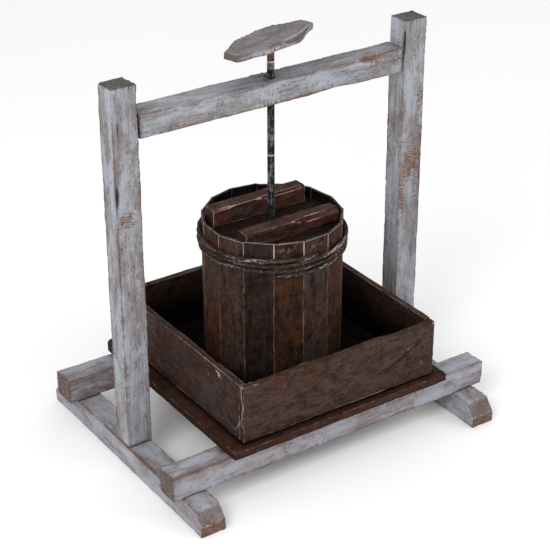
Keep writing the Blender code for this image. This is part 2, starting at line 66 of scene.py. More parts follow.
MM = 0.001
FINE_STEP = 0.0015       # how fine the mesh of the tray's two nearest walls is
BOARD_CREASE = math.radians(50.0)
ROUND_CREASE = math.radians(60.0)
FLOOR_HALF_SIZE = 9.0

# Frame timbers.
FOOT_TIP_HEIGHT = 0.0147
FOOT_BEVEL = 0.016

# Barrel, rope and screw, as in the CAD model.
STAVE_COUNT = 15
STAVE_THICKNESS = 0.004
STAVE_SEAM_ANGLE = math.radians(-123.0)
BARREL_X = 0.002
BARREL_RADIUS = 0.0975
ROPE_DIAMETER = 0.0064
ROPE_TURNS = 3.1
ROPE_PITCH = 0.0071
ROPE_LOW = 0.2695
ROPE_SAG = 0.004
ROD_RADIUS = 0.005
THREAD_PITCH = 0.0015
THREAD_DEPTH = 0.0005
NUT_PLATE_THICKNESS = 0.003
NUT_BOSS_RADIUS = 0.0096
CROSSBAR_BORE = 0.0058
JOINT_GAP = 0.0003
HANDLE_ANGLE = math.radians(17.6)

# Viewpoint: where the camera looks, from which side, and from how far.
VIEW_TARGET = Vector((-0.0089, -0.0220, 0.2315))
VIEW_AZIMUTH = math.radians(-34.12)
VIEW_ELEVATION = math.radians(28.11)
VIEW_ROLL = math.radians(-0.124)
VIEW_DISTANCE = 2.174
LENS = 104.86


# ---------------------------------------------------------------- noise and mesh helpers


def lattice_values(x, y, z, seed):
    """Repeatable random numbers from -1 to 1 at whole-number lattice points."""
    mixed = (x * 374761393 + y * 668265263 + z * 1440662683 + seed * 974634777) & 0xFFFFFFFF
    mixed = ((mixed ^ (mixed >> 13)) * 1274126177) & 0xFFFFFFFF
    mixed = ((mixed ^ (mixed >> 15)) * 461845907) & 0xFFFFFFFF
    return (mixed ^ (mixed >> 16)) / 2147483647.5 - 1.0


def noise(points, feature, seed=0):
    """Smooth noise from -1 to 1 whose bumps are about feature metres apart (one per axis)."""
    scaled = points / np.asarray(feature, dtype=float)
    cell = np.floor(scaled).astype(np.int64)
    part = scaled - cell
    part = part * part * (3.0 - 2.0 * part)
    total = np.zeros(len(points))
    for corner in range(8):
        step = np.array(((corner >> 2) & 1, (corner >> 1) & 1, corner & 1))
        weight = np.prod(np.where(step == 1, part, 1.0 - part), axis=1)
        x, y, z = (cell + step).T
        total += weight * lattice_values(x, y, z, seed)
    return total


def smoothstep(low, high, value):
    """0 below low, 1 above high and a smooth rise between."""
    share = np.clip((value - low) / (high - low), 0.0, 1.0)
    return share * share * (3.0 - 2.0 * share)


def unit(vectors):
    """Each row's direction, with length 1."""
    return vectors / np.maximum(np.linalg.norm(vectors, axis=1, keepdims=True), 1e-9)


def columns(*values):
    """Arrays and single numbers side by side, as the columns of one array."""
    return np.stack(np.broadcast_arrays(*values), axis=1)


def turned(points, angle):
    """Points turned about Z."""
    x, y, z = points.T
    cos, sin = math.cos(angle), math.sin(angle)
    return columns(x * cos - y * sin, x * sin + y * cos, z)


def grid_lines(low, high, step, edge):
    """Grid lines from low to high: crowded within edge of both ends and step apart between."""
    edge = min(edge, 0.4 * (high - low))
    near = edge * np.array((0.0, 0.1, 0.26, 0.5, 0.75))
    inner_low = low + edge
    inner_high = high - edge
    count = max(2, int(round((inner_high - inner_low) / step)) + 1)
    inner = np.linspace(inner_low, inner_high, count)
    return np.concatenate((low + near, inner, (high - near)[::-1]))


def box_shell(xs, ys, zs):
    """The corners and the outward quads of a box's surface, cut along the given grid lines."""
    shell = np.zeros((len(xs), len(ys), len(zs)), dtype=bool)
    for axis in range(3):
        side = np.moveaxis(shell, axis, 0)
        side[0] = True
        side[-1] = True
    index = np.full(shell.shape, -1)
    places = np.argwhere(shell)
    index[shell] = np.arange(len(places))
    verts = columns(xs[places[:, 0]], ys[places[:, 1]], zs[places[:, 2]])
    quads = []
    for axis in range(3):
        for side, outward in ((0, axis == 1), (-1, axis != 1)):
            face = index.take(side, axis=axis)
            corners = (face[:-1, :-1], face[1:, :-1], face[1:, 1:], face[:-1, 1:])
            if not outward:
                corners = corners[::-1]
            quads.append(np.stack(corners, axis=-1).reshape(-1, 4))
    return verts, np.concatenate(quads).tolist()


def ring(radius, height, sides):
    """The corners of a level ring round Z; radius may be one number for each corner."""
    angle = math.tau * np.arange(sides) / sides
    return columns(radius * np.cos(angle), radius * np.sin(angle), height)


def ring_quads(rings, sides, downwards=False):
    """The outward quads between rings that follow each other upwards, or downwards."""
    first = np.arange(rings - 1)[:, None] * sides
    side = np.arange(sides)
    after = (side + 1) % sides
    corners = [first + side, first + after, first + sides + after, first + sides + side]
    if downwards:
        corners[1], corners[3] = corners[3], corners[1]
    return np.stack(corners, axis=-1).reshape(-1, 4).tolist()


def make_mesh(name, verts, faces):
    """A smooth-shaded mesh from an array of corners and a list of faces."""
    mesh = bpy.data.meshes.new(name)
    mesh.from_pydata(verts.tolist(), [], faces)
    mesh.shade_smooth()
    mesh.validate()
    return mesh


def corner_vectors(mesh, kind="co"):
    """The positions of a mesh's corners as an array, or their normals if kind is "normal"."""
    vectors = np.empty(3 * len(mesh.vertices))
    mesh.vertices.foreach_get(kind, vectors)
    return vectors.reshape(-1, 3)


def set_vectors(mesh, name, values):
    """Store one vector for each corner of a mesh."""
    layer = mesh.attributes.new(name, "FLOAT_VECTOR", "POINT")
    layer.data.foreach_set("vector", np.ascontiguousarray(values, dtype=np.float32).ravel())


def set_points(mesh, points):
    """Move a mesh's corners."""
    mesh.vertices.foreach_set("co", points.ravel())
    mesh.update()


def add_object(name, data):
    """A new object in the scene."""
    item = bpy.data.objects.new(name, data)
    bpy.context.scene.collection.objects.link(item)
    return item


def place_piece(name, mesh, material, body, slot, *nodes):
    """Add a finished piece to the scene, hide the CAD nodes it stands for and note them as
    replaced.
    """
    mesh.materials.clear()
    mesh.materials.append(material)
    piece = add_object(name, mesh)
    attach(piece, body)
    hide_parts(*nodes)
    REPLACED.update(nodes)


# ---------------------------------------------------------------- boards


def weathered(verts, half, style, grain, seed):
    """Round, chip and hollow the corners of a box centred on the origin, always inwards."""
    spot = verts + 7.31 * seed
    uneven = np.full(3, style["chip_length"] / 3)
    uneven[grain] = style["chip_length"]
    radius = style["radius"] * (1.0 + 0.55 * noise(spot, uneven, seed))
    chips = smoothstep(0.35, 0.9, noise(spot, uneven * 0.45, seed + 1))
    radius = radius + style["chip"] * chips
    radius = np.minimum(radius, 0.9 * half.min())[:, None]
    core = np.clip(verts, radius - half, half - radius)
    out = verts - core
    power = style["squareness"]
    length = (np.abs(out) ** power).sum(axis=1, keepdims=True) ** (1.0 / power)
    way = out / np.maximum(length, 1e-9)
    normal = unit(way)
    long_wave = np.full(3, style["wave_length"] * 0.5)
    long_wave[grain] = style["wave_length"]
    hollow = 0.5 + 0.5 * noise(spot + 3.0 * normal, long_wave, seed + 2)
    ripple = 0.5 + 0.5 * noise(spot, long_wave * 0.3, seed + 3)
    depth = style["wave"] * hollow + style["ripple"] * ripple
    give = np.array(style.get("give", (1.0, 1.0, 1.0)))
    return core + way * radius - normal * give * depth[:, None]


def drill(mesh, cutters):
    """Cut the shapes in cutters out of a mesh and return the new mesh."""
    target = add_object("drilled", mesh)
    tools = []
    for index, cutter in enumerate(cutters):
        tool = add_object(f"tool_{index}", cutter)
        boolean = target.modifiers.new(f"cut_{index}", "BOOLEAN")
        boolean.operation = "DIFFERENCE"
        boolean.solver = "EXACT"
        boolean.object = tool
        tools.append(tool)
    bpy.context.view_layer.update()
    depsgraph = bpy.context.evaluated_depsgraph_get()
    result = bpy.data.meshes.new_from_object(target.evaluated_get(depsgraph))
    for item in [target] + tools:
        spare = item.data
        bpy.data.objects.remove(item)
        bpy.data.meshes.remove(spare)
    return result


def mesh_from(name, bm):
    """A mesh from a bmesh, which is freed."""
    mesh = bpy.data.meshes.new(name)
    bm.to_mesh(mesh)
    bm.free()
    return mesh


def cylinder_cutter(centre, radius, length, sides=40):
    """A round cutter standing along Z about its centre."""
    bm = bmesh.new()
    bmesh.ops.create_cone(
        bm, cap_ends=True, segments=sides, radius1=radius, radius2=radius, depth=length
    )
    bmesh.ops.translate(bm, vec=centre, verts=bm.verts)
    return mesh_from("cutter", bm)


def block_cutter(centre, size):
    """A rectangular cutter about its centre."""
    bm = bmesh.new()
    bmesh.ops.create_cube(bm, size=1.0)
    bmesh.ops.scale(bm, vec=size, verts=bm.verts)
    bmesh.ops.translate(bm, vec=centre, verts=bm.verts)
    return mesh_from("cutter", bm)


def fastener_holes(pattern, clearance):
    """Cutters that open a board's underside up to the fasteners sunk into it."""
    length = 0.020
    overlap = 0.0012         # how far a cutter reaches past the fastener's lower end
    cutters = []
    for name in sorted(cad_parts):
        if fnmatch.fnmatch(name, pattern):
            low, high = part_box(name)
            middle = (low + high) / 2
            radius = (high[0] - low[0]) / 2 + clearance
            centre = Vector((middle[0], middle[1], low[2] + overlap - length / 2))
            cutters.append(cylinder_cutter(centre, radius, length, 20))
    return cutters


def spots_mm(origin, *rows):
    """Spots from rows in millimetres: x, y, z from origin, reach along x, y, z, and amount."""
    spots = []
    for row in rows:
        place = tuple(start + MM * shift for start, shift in zip(origin, row[:3]))
        spots.append((place, tuple(MM * reach for reach in row[3:6]), row[6]))
    return spots


def trail(path, count, reach, amount):
    """A line of spots along path(share), where share runs from 0 to 1."""
    return [(path(share), reach, amount) for share in np.linspace(0.0, 1.0, count)]


def near_spots(points, spots):
    """How close points come to the (place, reach, amount) spots, each fading out smoothly."""
    total = np.zeros(len(points))
    for place, reach, amount in spots:
        offset = (points - np.array(place)) / np.array(reach)
        total += amount * np.exp(-(offset ** 2).sum(axis=1))
    return total


def paint_attributes(mesh, centre, half, style, grain, seed, grime, rubbed):
    """Store the grain and look attributes of a board.

    Its darkening function, given points and normals, says how grimy each point is, with painted
    shade added in, and rubbed lists the spots with more wear.
    """
    local = corner_vectors(mesh) - centre
    normals = corner_vectors(mesh, "normal")
    gaps = np.sort(np.maximum(half - np.abs(local), 0.0), axis=1)
    rounding = 0.35 * style["radius"] + 0.6 * style["wave"]
    off_edge = np.maximum(gaps[:, 1] - rounding, 0.0)
    edge = style["edge_wear"] * np.exp(-off_edge / style["wear_width"])
    edge = edge + near_spots(local + centre, rubbed)
    end = smoothstep(0.6, 0.85, np.abs(normals[:, grain]))
    darkness = 0.0 if grime is None else grime(local + centre, normals)
    order = [grain] + [axis for axis in range(3) if axis != grain]
    set_vectors(mesh, "grain", local[:, order] + np.array((0.37, 0.61, 0.23)) * (seed % 17))
    set_vectors(mesh, "look", columns(edge, end, darkness))


FRAME_STYLE = {
    "radius": 0.0015, "chip": 0.0020, "chip_length": 0.042, "squareness": 1.5,
    "wave": 0.0018, "wave_length": 0.070, "ripple": 0.0006, "wear_width": 0.0026,
    "step": 0.0026, "edge": 0.0055, "edge_wear": 0.58,
}
TRAY_STYLE = {
    "radius": 0.0009, "chip": 0.0013, "chip_length": 0.026, "squareness": 1.7,
    "wave": 0.0008, "wave_length": 0.055, "ripple": 0.0004, "wear_width": 0.0005,
    "step": 0.0030, "edge": 0.0024, "edge_wear": 0.66,
}
BAR_STYLE = {
    "radius": 0.0012, "chip": 0.0014, "chip_length": 0.030, "squareness": 1.4,
    "wave": 0.0006, "wave_length": 0.040, "ripple": 0.0003, "wear_width": 0.0009,
    "step": 0.0018, "edge": 0.0024, "edge_wear": 0.74,
}
STAVE_STYLE = {
    "radius": 0.0006, "chip": 0.0007, "chip_length": 0.018, "squareness": 1.7,
    "wave": 0.0005, "wave_length": 0.045, "ripple": 0.0002, "wear_width": 0.0004,
    "step": 0.0028, "edge": 0.0016, "give": (1.0, 0.0, 1.0), "edge_wear": 0.48,
}
LIP_STYLE = {**TRAY_STYLE, "edge_wear": 0.54}
HANDLE_STYLE = {
    "radius": 0.0020, "chip": 0.0018, "chip_length": 0.012, "squareness": 1.4,
    "wave": 0.0006, "wave_length": 0.030, "ripple": 0.0004, "wear_width": 0.0012,
    "step": 0.0012, "edge": 0.0035, "edge_wear": 0.80,
}


def gouged(verts, centre, gouges):
    """Push points in towards the middle of a board round each (place, reach, depth) gouge."""
    for place, reach, depth in gouges:
        offset = (verts + centre - np.array(place)) / np.array(reach)
        share = np.exp(-(offset ** 2).sum(axis=1))[:, None]
        inward = -verts.copy()
        inward[:, int(np.argmax(np.abs(reach)))] = 0.0
        verts = verts + unit(inward) * share * depth
    return verts


def sunk(verts, stations, drops, share):
    """Lower points by the drops at stations along X, times share."""
    shaped = verts.copy()
    shaped[:, 2] -= np.interp(verts[:, 0], stations, drops) * share
    return shaped


def pared(verts, half, stations, widths, steepness=1.0):
    """Pare the front top edge to a sloping flat, as wide as widths says at stations along X.

    A steepness above 1 makes the flat reach that much further down than back.
    """
    width = np.maximum(np.interp(verts[:, 0], stations, widths), 1e-6)
    back = (verts[:, 1] + half[1]) / width
    down = (half[2] - verts[:, 2]) / (width * steepness)
    over = np.maximum(1.0 - back - down, 0.0) / 2 * width
    shaped = verts.copy()
    shaped[:, 1] += over
    shaped[:, 2] -= over * steepness
    return shaped


def pared_borders(front, top, stations, widths, amount, steepness=1.0):
    """The worn spots along the two borders of a pared edge."""
    spots = []
    for x in np.arange(stations[0], stations[-1], 0.003):
        width = float(np.interp(x, stations, widths))
        if width > 0.001:
            spots.append(((x, front + width, top), (0.0022, 0.0008, 0.0016), amount))
            spots.append(((x, front, top - width * steepness), (0.0022, 0.0016, 0.0008), amount))
    return spots


def make_board(
    node, grain_name, style, seed, span=None, step=None, gouges=(), bend=None, cutters=(),
    grime=None, rubbed=(),
):
    """A worn board in the box of a CAD node, or in span, its (low, high) corners.

    step is how fine the mesh is, if finer than in the style.  gouges are hollows cut into it,
    and bend may shape its points, given half sizes.  cutters are cut out of it.  Its darkening
    function tells how grimy each point is, with painted shade added in, and rubbed are spots
    with more wear.
    """
    low, high = (np.array(corner) for corner in (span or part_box(node)))
    centre = (low + high) / 2
    half = (high - low) / 2
    grain = "xyz".index(grain_name)
    lines = [grid_lines(-size, size, step or style["step"], style["edge"]) for size in half]
    verts, quads = box_shell(*lines)
    verts = weathered(verts, half, style, grain, seed)
    verts = gouged(verts, centre, gouges)
    if bend is not None:
        verts = bend(verts, half)
    mesh = make_mesh(node, verts + centre, quads)
    if cutters:
        mesh = drill(mesh, cutters)
        mesh.shade_smooth()
        mesh.set_sharp_from_angle(angle=BOARD_CREASE)
    paint_attributes(mesh, centre, half, style, grain, seed, grime, rubbed)
    return mesh


def place_board(node, grain, style, seed, material, slot, body="stand", name=None, **details):
    """Make a board and put it in the scene in place of its CAD node."""
    mesh = make_board(node, grain, style, seed, **details)
    place_piece(name or "worn_" + node, mesh, material, body, slot, node)


# ---------------------------------------------------------------- materials


class Tree:
    """A short way of writing a material's nodes."""

    def __init__(self, name, **shader_values):
        self.material = bpy.data.materials.new(name)
        self.material.use_nodes = True
        self.nodes = self.material.node_tree.nodes
        self.links = self.material.node_tree.links
        self.shader = self.nodes["Principled BSDF"]
        for socket, value in shader_values.items():
            self.shader.inputs[socket.replace("_", " ")].default_value = value

    def put(self, socket, value):
        """Plug a number, a colour or another node's output into a socket."""
        if isinstance(value, bpy.types.NodeSocket):
            self.links.new(value, socket)
        elif socket.type == "RGBA":
            socket.default_value = (*value, 1.0)
        else:
            socket.default_value = value

    def node(self, kind, values, **settings):
        """The outputs of a new node; values says what goes into its sockets."""
        node = self.nodes.new("ShaderNode" + kind)
        for name, setting in settings.items():
            setattr(node, name, setting)
        for socket, value in values.items():
            self.put(node.inputs[socket], value)
        return node.outputs

    def vector(self, name):
        """A mesh attribute that holds a vector."""
        return self.node("Attribute", {}, attribute_name=name)["Vector"]

    def parts(self, vector):
        """The three numbers of a vector."""
        return self.node("SeparateXYZ", {0: vector})

    def noise(self, vector, factors, detail=2.0, roughness=0.5, distortion=0.0):
        """Noise about 0.5; factors is how many bumps it has in a metre along each axis."""
        values = {
            "Vector": self.node("VectorMath", {0: vector, 1: factors}, operation="MULTIPLY")[0],
            "Scale": 1.0, "Detail": detail, "Roughness": roughness, "Distortion": distortion,
        }
        return self.node("TexNoise", values)[0]

    def math(self, operation, first, second=0.0, third=0.0):
        """One step of arithmetic."""
        return self.node("Math", {0: first, 1: second, 2: third}, operation=operation)[0]

    def times(self, first, second):
        """The product of two values."""
        return self.math("MULTIPLY", first, second)

    def total(self, *terms):
        """The sum of (value, weight) pairs."""
        result = 0.0
        for value, weight in terms:
            result = self.math("MULTIPLY_ADD", value, weight, result)
        return result

    def ramp(self, value, low, high, to_low=0.0, to_high=1.0):
        """A smooth rise from to_low at low to to_high at high.

        The value may be a tuple of (value, weight) pairs, which are summed.
        """
        if isinstance(value, tuple):
            value = self.total(*value)
        values = {
            "Value": value, "From Min": low, "From Max": high, "To Min": to_low, "To Max": to_high,
        }
        return self.node("MapRange", values, interpolation_type="SMOOTHSTEP")["Result"]

    def mix(self, factor, first, second):
        """A blend of two colours."""
        values = {"Factor": factor, "A": first, "B": second}
        return self.node("Mix", values, data_type="RGBA")["Result"]

    def bump(self, height, distance):
        """A bump; a height of 1 stands distance metres proud."""
        values = {"Strength": 1.0, "Distance": distance, "Height": height}
        return self.node("Bump", values)["Normal"]

    def finish(self, colour, roughness, normal):
        """Plug the results into the shader."""
        self.put(self.shader.inputs["Base Color"], colour)
        self.put(self.shader.inputs["Roughness"], roughness)
        self.put(self.shader.inputs["Normal"], normal)
        return self.material


def make_whitewash(name, paint, thin, ends, chalk_colour, raw_light, cracked=1.0):
    """Thin grey-blue limewash over sawn brown timber, worn through on edges and saw ridges.

    ends are the dark and the light colour of end grain, raw_light is the light colour of bare
    timber, and cracked is how strongly cracks, pits and smut show.
    """
    tree = Tree(name, Specular_IOR_Level=0.2)
    grain = tree.vector("grain")
    edge, end, grime = tree.parts(tree.vector("look"))
    fibres = tree.noise(grain, (36, 480, 480), 4.0, 0.7)
    streaks = tree.noise(grain, (10, 130, 130), 4.0, 0.65)
    patches = tree.noise(grain, (15, 32, 32), 4.0, 0.6)
    blotches = tree.noise(grain, (95, 130, 130), 4.0, 0.7, 0.6)
    speckle = tree.noise(grain, (420, 520, 520), 3.0, 0.75)
    saw = tree.noise(grain, (640, 95, 95), 2.0, 0.55, 0.1)
    sawn = tree.ramp(tree.noise(grain, (9, 18, 18), 2.0), 0.51, 0.63)
    ridges = tree.times(tree.ramp(saw, 0.48, 0.64), sawn)

    thinness = tree.total(
        (patches, 0.80), (streaks, 0.55), (fibres, 0.30), (blotches, 0.55), (edge, 0.16),
        (ridges, 0.22),
    )
    coat = tree.mix(tree.ramp(thinness, 0.98, 1.26), paint, thin)
    chalk = tree.ramp(((blotches, 0.5), (fibres, 0.25), (speckle, 0.25)), 0.50, 0.62)
    coat = tree.mix(tree.times(chalk, 0.60), coat, (0.385, 0.395, 0.435))
    smut = tree.ramp(((fibres, 0.6), (speckle, 0.4)), 0.36, 0.49, 0.58 * cracked, 0.0)
    coat = tree.mix(smut, coat, (0.125, 0.100, 0.098))

    wood = tree.mix(tree.ramp(fibres, 0.3, 0.7), (0.086, 0.054, 0.044), (0.222, 0.150, 0.124))
    worn = tree.total(
        (edge, 0.62), (patches, 0.85), (blotches, 0.90), (fibres, 0.30), (speckle, 0.30),
        (ridges, 0.24),
    )
    bare = tree.ramp(worn, 1.42, 1.72)
    colour = tree.mix(tree.times(bare, 0.85), coat, wood)
    colour = tree.mix(tree.ramp(edge, -0.75, -0.15, 0.85, 0.0), colour, chalk_colour)

    crack = tree.noise(grain, (15, 300, 300), 2.0, 0.5)
    off_crack = tree.math("ABSOLUTE", tree.math("SUBTRACT", crack, 0.5))
    cleft = tree.times(tree.ramp(off_crack, 0.0, 0.016, 1.0, 0.0), tree.ramp(patches, 0.44, 0.60))
    colour = tree.mix(tree.times(cleft, 0.45 * cracked), colour, (0.060, 0.045, 0.042))
    pits = tree.ramp(tree.noise(grain, (110, 260, 260), 2.0, 0.6), 0.64, 0.70)
    colour = tree.mix(tree.times(pits, 0.45 * cracked), colour, (0.055, 0.040, 0.036))

    pores = tree.noise(grain, (800, 520, 520), 3.0, 0.75)
    end_colour = tree.mix(tree.ramp(pores, 0.38, 0.62), *ends)
    colour = tree.mix(tree.times(end, 0.92), colour, end_colour)
    teeth = tree.ramp(saw, 0.42, 0.56)
    rawness = tree.total((grime, -0.80), (blotches, 0.55), (fibres, 0.20), (teeth, 0.24))
    raw_streaks = tree.ramp(((fibres, 0.65), (speckle, 0.35)), 0.40, 0.60)
    raw_wood = tree.mix(raw_streaks, (0.052, 0.026, 0.018), raw_light)
    colour = tree.mix(tree.ramp(rawness, 0.98, 1.20, 0.0, 0.85), colour, raw_wood)
    # The look's third value is how grimy it is plus painted shade: high values turn the paint dark
    # mauve grey, and the highest near-black.
    dusk = tree.ramp(((grime, 1.0), (fibres, 0.24)), 0.14, 0.66, 0.0, 0.86)
    shaded = tree.ramp(((streaks, 0.55), (fibres, 0.45)), 0.38, 0.60)
    shade = tree.mix(shaded, (0.066, 0.054, 0.056), (0.228, 0.214, 0.232))
    colour = tree.mix(dusk, colour, shade)
    # Near-black where the grimy marks and the painted shade are deepest.
    black_grime_and_shade = tree.ramp(((grime, 0.85), (blotches, 0.9)), 0.88, 1.14)
    colour = tree.mix(black_grime_and_shade, colour, (0.026, 0.021, 0.020))

    roughness = tree.ramp(thinness, 0.9, 1.3, 0.74, 0.92)
    relief = tree.total(
        (saw, 0.30), (fibres, 0.50), (blotches, 0.35), (cleft, -0.9), (bare, -0.35),
        (speckle, 0.20), (pits, -0.6),
    )
    return tree.finish(colour, roughness, tree.bump(relief, 0.75 * MM))


def make_stain(name, dark, warm, grey, worn_colour, dust_and_shade_amount):
    """Dark stained wood, mottled, with pale rubbed edges."""
    tree = Tree(name, Specular_IOR_Level=0.07)
    grain = tree.vector("grain")
    edge, end, grime = tree.parts(tree.vector("look"))
    fibres = tree.noise(grain, (50, 520, 520), 4.0, 0.7)
    streaks = tree.noise(grain, (10, 90, 90), 3.0, 0.6)
    patches = tree.noise(grain, (24, 34, 34), 4.0, 0.65, 0.4)
    blotches = tree.noise(grain, (80, 105, 105), 4.0, 0.7, 0.8)
    speckle = tree.noise(grain, (430, 520, 520), 3.0, 0.75)
    brushed = tree.noise(grain, (34, 330, 330), 3.0, 0.65)

    warmth = ((patches, 0.50), (blotches, 0.30), (streaks, 0.10), (brushed, 0.10))
    colour = tree.mix(tree.ramp(warmth, 0.41, 0.60), dark, warm)
    dust = ((patches, -0.65), (blotches, 0.35), (streaks, 0.14), (brushed, 0.16), (speckle, 0.20))
    colour = tree.mix(tree.ramp(dust, 0.02 - dust_and_shade_amount, 0.23 - dust_and_shade_amount), colour, grey)
    shade = ((fibres, 0.3), (brushed, 0.2), (speckle, 0.5))
    colour = tree.mix(tree.ramp(shade, 0.38, 0.54, 0.66, 0.0), colour, dark)

    rub = ((edge, 1.30), (blotches, 0.65), (speckle, 0.30), (brushed, 0.20), (patches, 0.40))
    colour = tree.mix(tree.ramp(rub, 1.26, 1.66), colour, worn_colour)
    scuff = ((blotches, 0.6), (speckle, 0.5), (patches, 0.4))
    colour = tree.mix(tree.ramp(scuff, 0.87, 1.04, 0.0, 0.46), colour, worn_colour)
    colour = tree.mix(tree.times(end, 0.35), colour, dark)
    # Near-black where the look's third value is high: grimy marks, and painted shade inside the
    # tray and barrel and on the press plate.
    grime_and_shade_colour = (dark[0] * 0.12, dark[1] * 0.10, dark[2] * 0.10)
    colour = tree.mix(grime, colour, grime_and_shade_colour)
    scratches = tree.ramp(tree.noise(grain, (55, 900, 900), 3.0, 0.6), 0.60, 0.70, 0.0, 0.42)
    colour = tree.mix(scratches, colour, grey)

    roughness = tree.ramp(((patches, 0.5), (speckle, 0.5)), 0.35, 0.65, 0.50, 0.78)
    relief = tree.total(
        (fibres, 0.5), (brushed, 0.4), (speckle, 0.35), (blotches, 0.8), (scratches, -0.5)
    )
    return tree.finish(colour, roughness, tree.bump(relief, 0.55 * MM))


def make_rope_material():
    """Dark hard-laid cord, rubbed pale on the crowns of its strands."""
    tree = Tree("old_cord", Specular_IOR_Level=0.2)
    grain = tree.vector("grain")
    crown, chafed, _ = tree.parts(tree.vector("look"))
    yarn = tree.noise(grain, (120, 20, 900), 3.0, 0.6)
    flecks = tree.noise(grain, (330, 60, 620), 4.0, 0.75)
    patches = tree.noise(grain, (22, 30, 90), 2.0)
    colour = tree.mix(tree.ramp(yarn, 0.35, 0.65), (0.006, 0.003, 0.002), (0.052, 0.029, 0.021))
    pale = ((crown, 0.38), (flecks, 1.90), (patches, 0.90), (yarn, 0.40), (chafed, 0.60))
    colour = tree.mix(tree.ramp(pale, 1.98, 2.34), colour, (0.310, 0.280, 0.285))
    relief = tree.total((yarn, 0.8), (flecks, 0.8))
    return tree.finish(colour, 0.8, tree.bump(relief, 0.7 * MM))


def make_rod_material():
    """Black steel with scoured, bluish bright patches."""
    tree = Tree("scoured_steel", Metallic=0.45, Specular_IOR_Level=0.2)
    grain = tree.vector("grain")
    scoured, stain, ring_share = tree.parts(tree.vector("look"))
    bands = tree.noise(grain, (85, 160, 160), 4.0, 0.65)
    fine = tree.noise(grain, (520, 700, 700), 3.0, 0.7)
    bright = tree.ramp(((bands, 0.9), (fine, 0.5), (scoured, 0.5)), 0.72, 0.90)
    colour = tree.mix(bright, (0.004, 0.004, 0.005), (0.150, 0.161, 0.190))
    chalky = tree.mix(tree.ramp(fine, 0.35, 0.6), (0.05, 0.05, 0.042), (0.20, 0.205, 0.18))
    colour = tree.mix(tree.ramp(scoured, -0.8, -0.2, 1.0, 0.0), colour, chalky)
    brown = tree.mix(tree.ramp(bands, 0.35, 0.6), (0.050, 0.020, 0.010), (0.260, 0.120, 0.060))
    colour = tree.mix(stain, colour, brown)
    colour = tree.mix(ring_share, colour, (0.680, 0.670, 0.620))
    roughness = tree.ramp(fine, 0.35, 0.65, 0.34, 0.62)
    return tree.finish(colour, roughness, tree.bump(fine, 0.10 * MM))


def make_fastener_material(name, clean, rusted):
    """Dull steel with a little rust, for the screws, nails, washers and nuts."""
    tree = Tree(name, Metallic=0.85)
    place = tree.node("TexCoord", {})["Object"]
    rust = tree.noise(place, (380, 380, 380), 4.0, 0.7)
    fine = tree.noise(place, (1500, 1500, 1500), 2.0)
    colour = tree.mix(tree.ramp(rust, 0.50, 0.66), clean, rusted)
    roughness = tree.ramp(((rust, 0.6), (fine, 0.4)), 0.3, 0.7, 0.35, 0.75)
    return tree.finish(colour, roughness, tree.bump(fine, 0.06 * MM))


def make_floor_material():
    """A plain pale floor with the faintest unevenness."""
    tree = Tree("pale_floor", Specular_IOR_Level=0.1)
    cloud = tree.noise(tree.node("TexCoord", {})["Object"], (1.5, 1.5, 1.5), 2.0)
    colour = tree.mix(cloud, (0.93, 0.93, 0.93), (0.96, 0.96, 0.96))
    return tree.finish(colour, 0.9, tree.bump(cloud, 0.1 * MM))


# ---------------------------------------------------------------- pieces


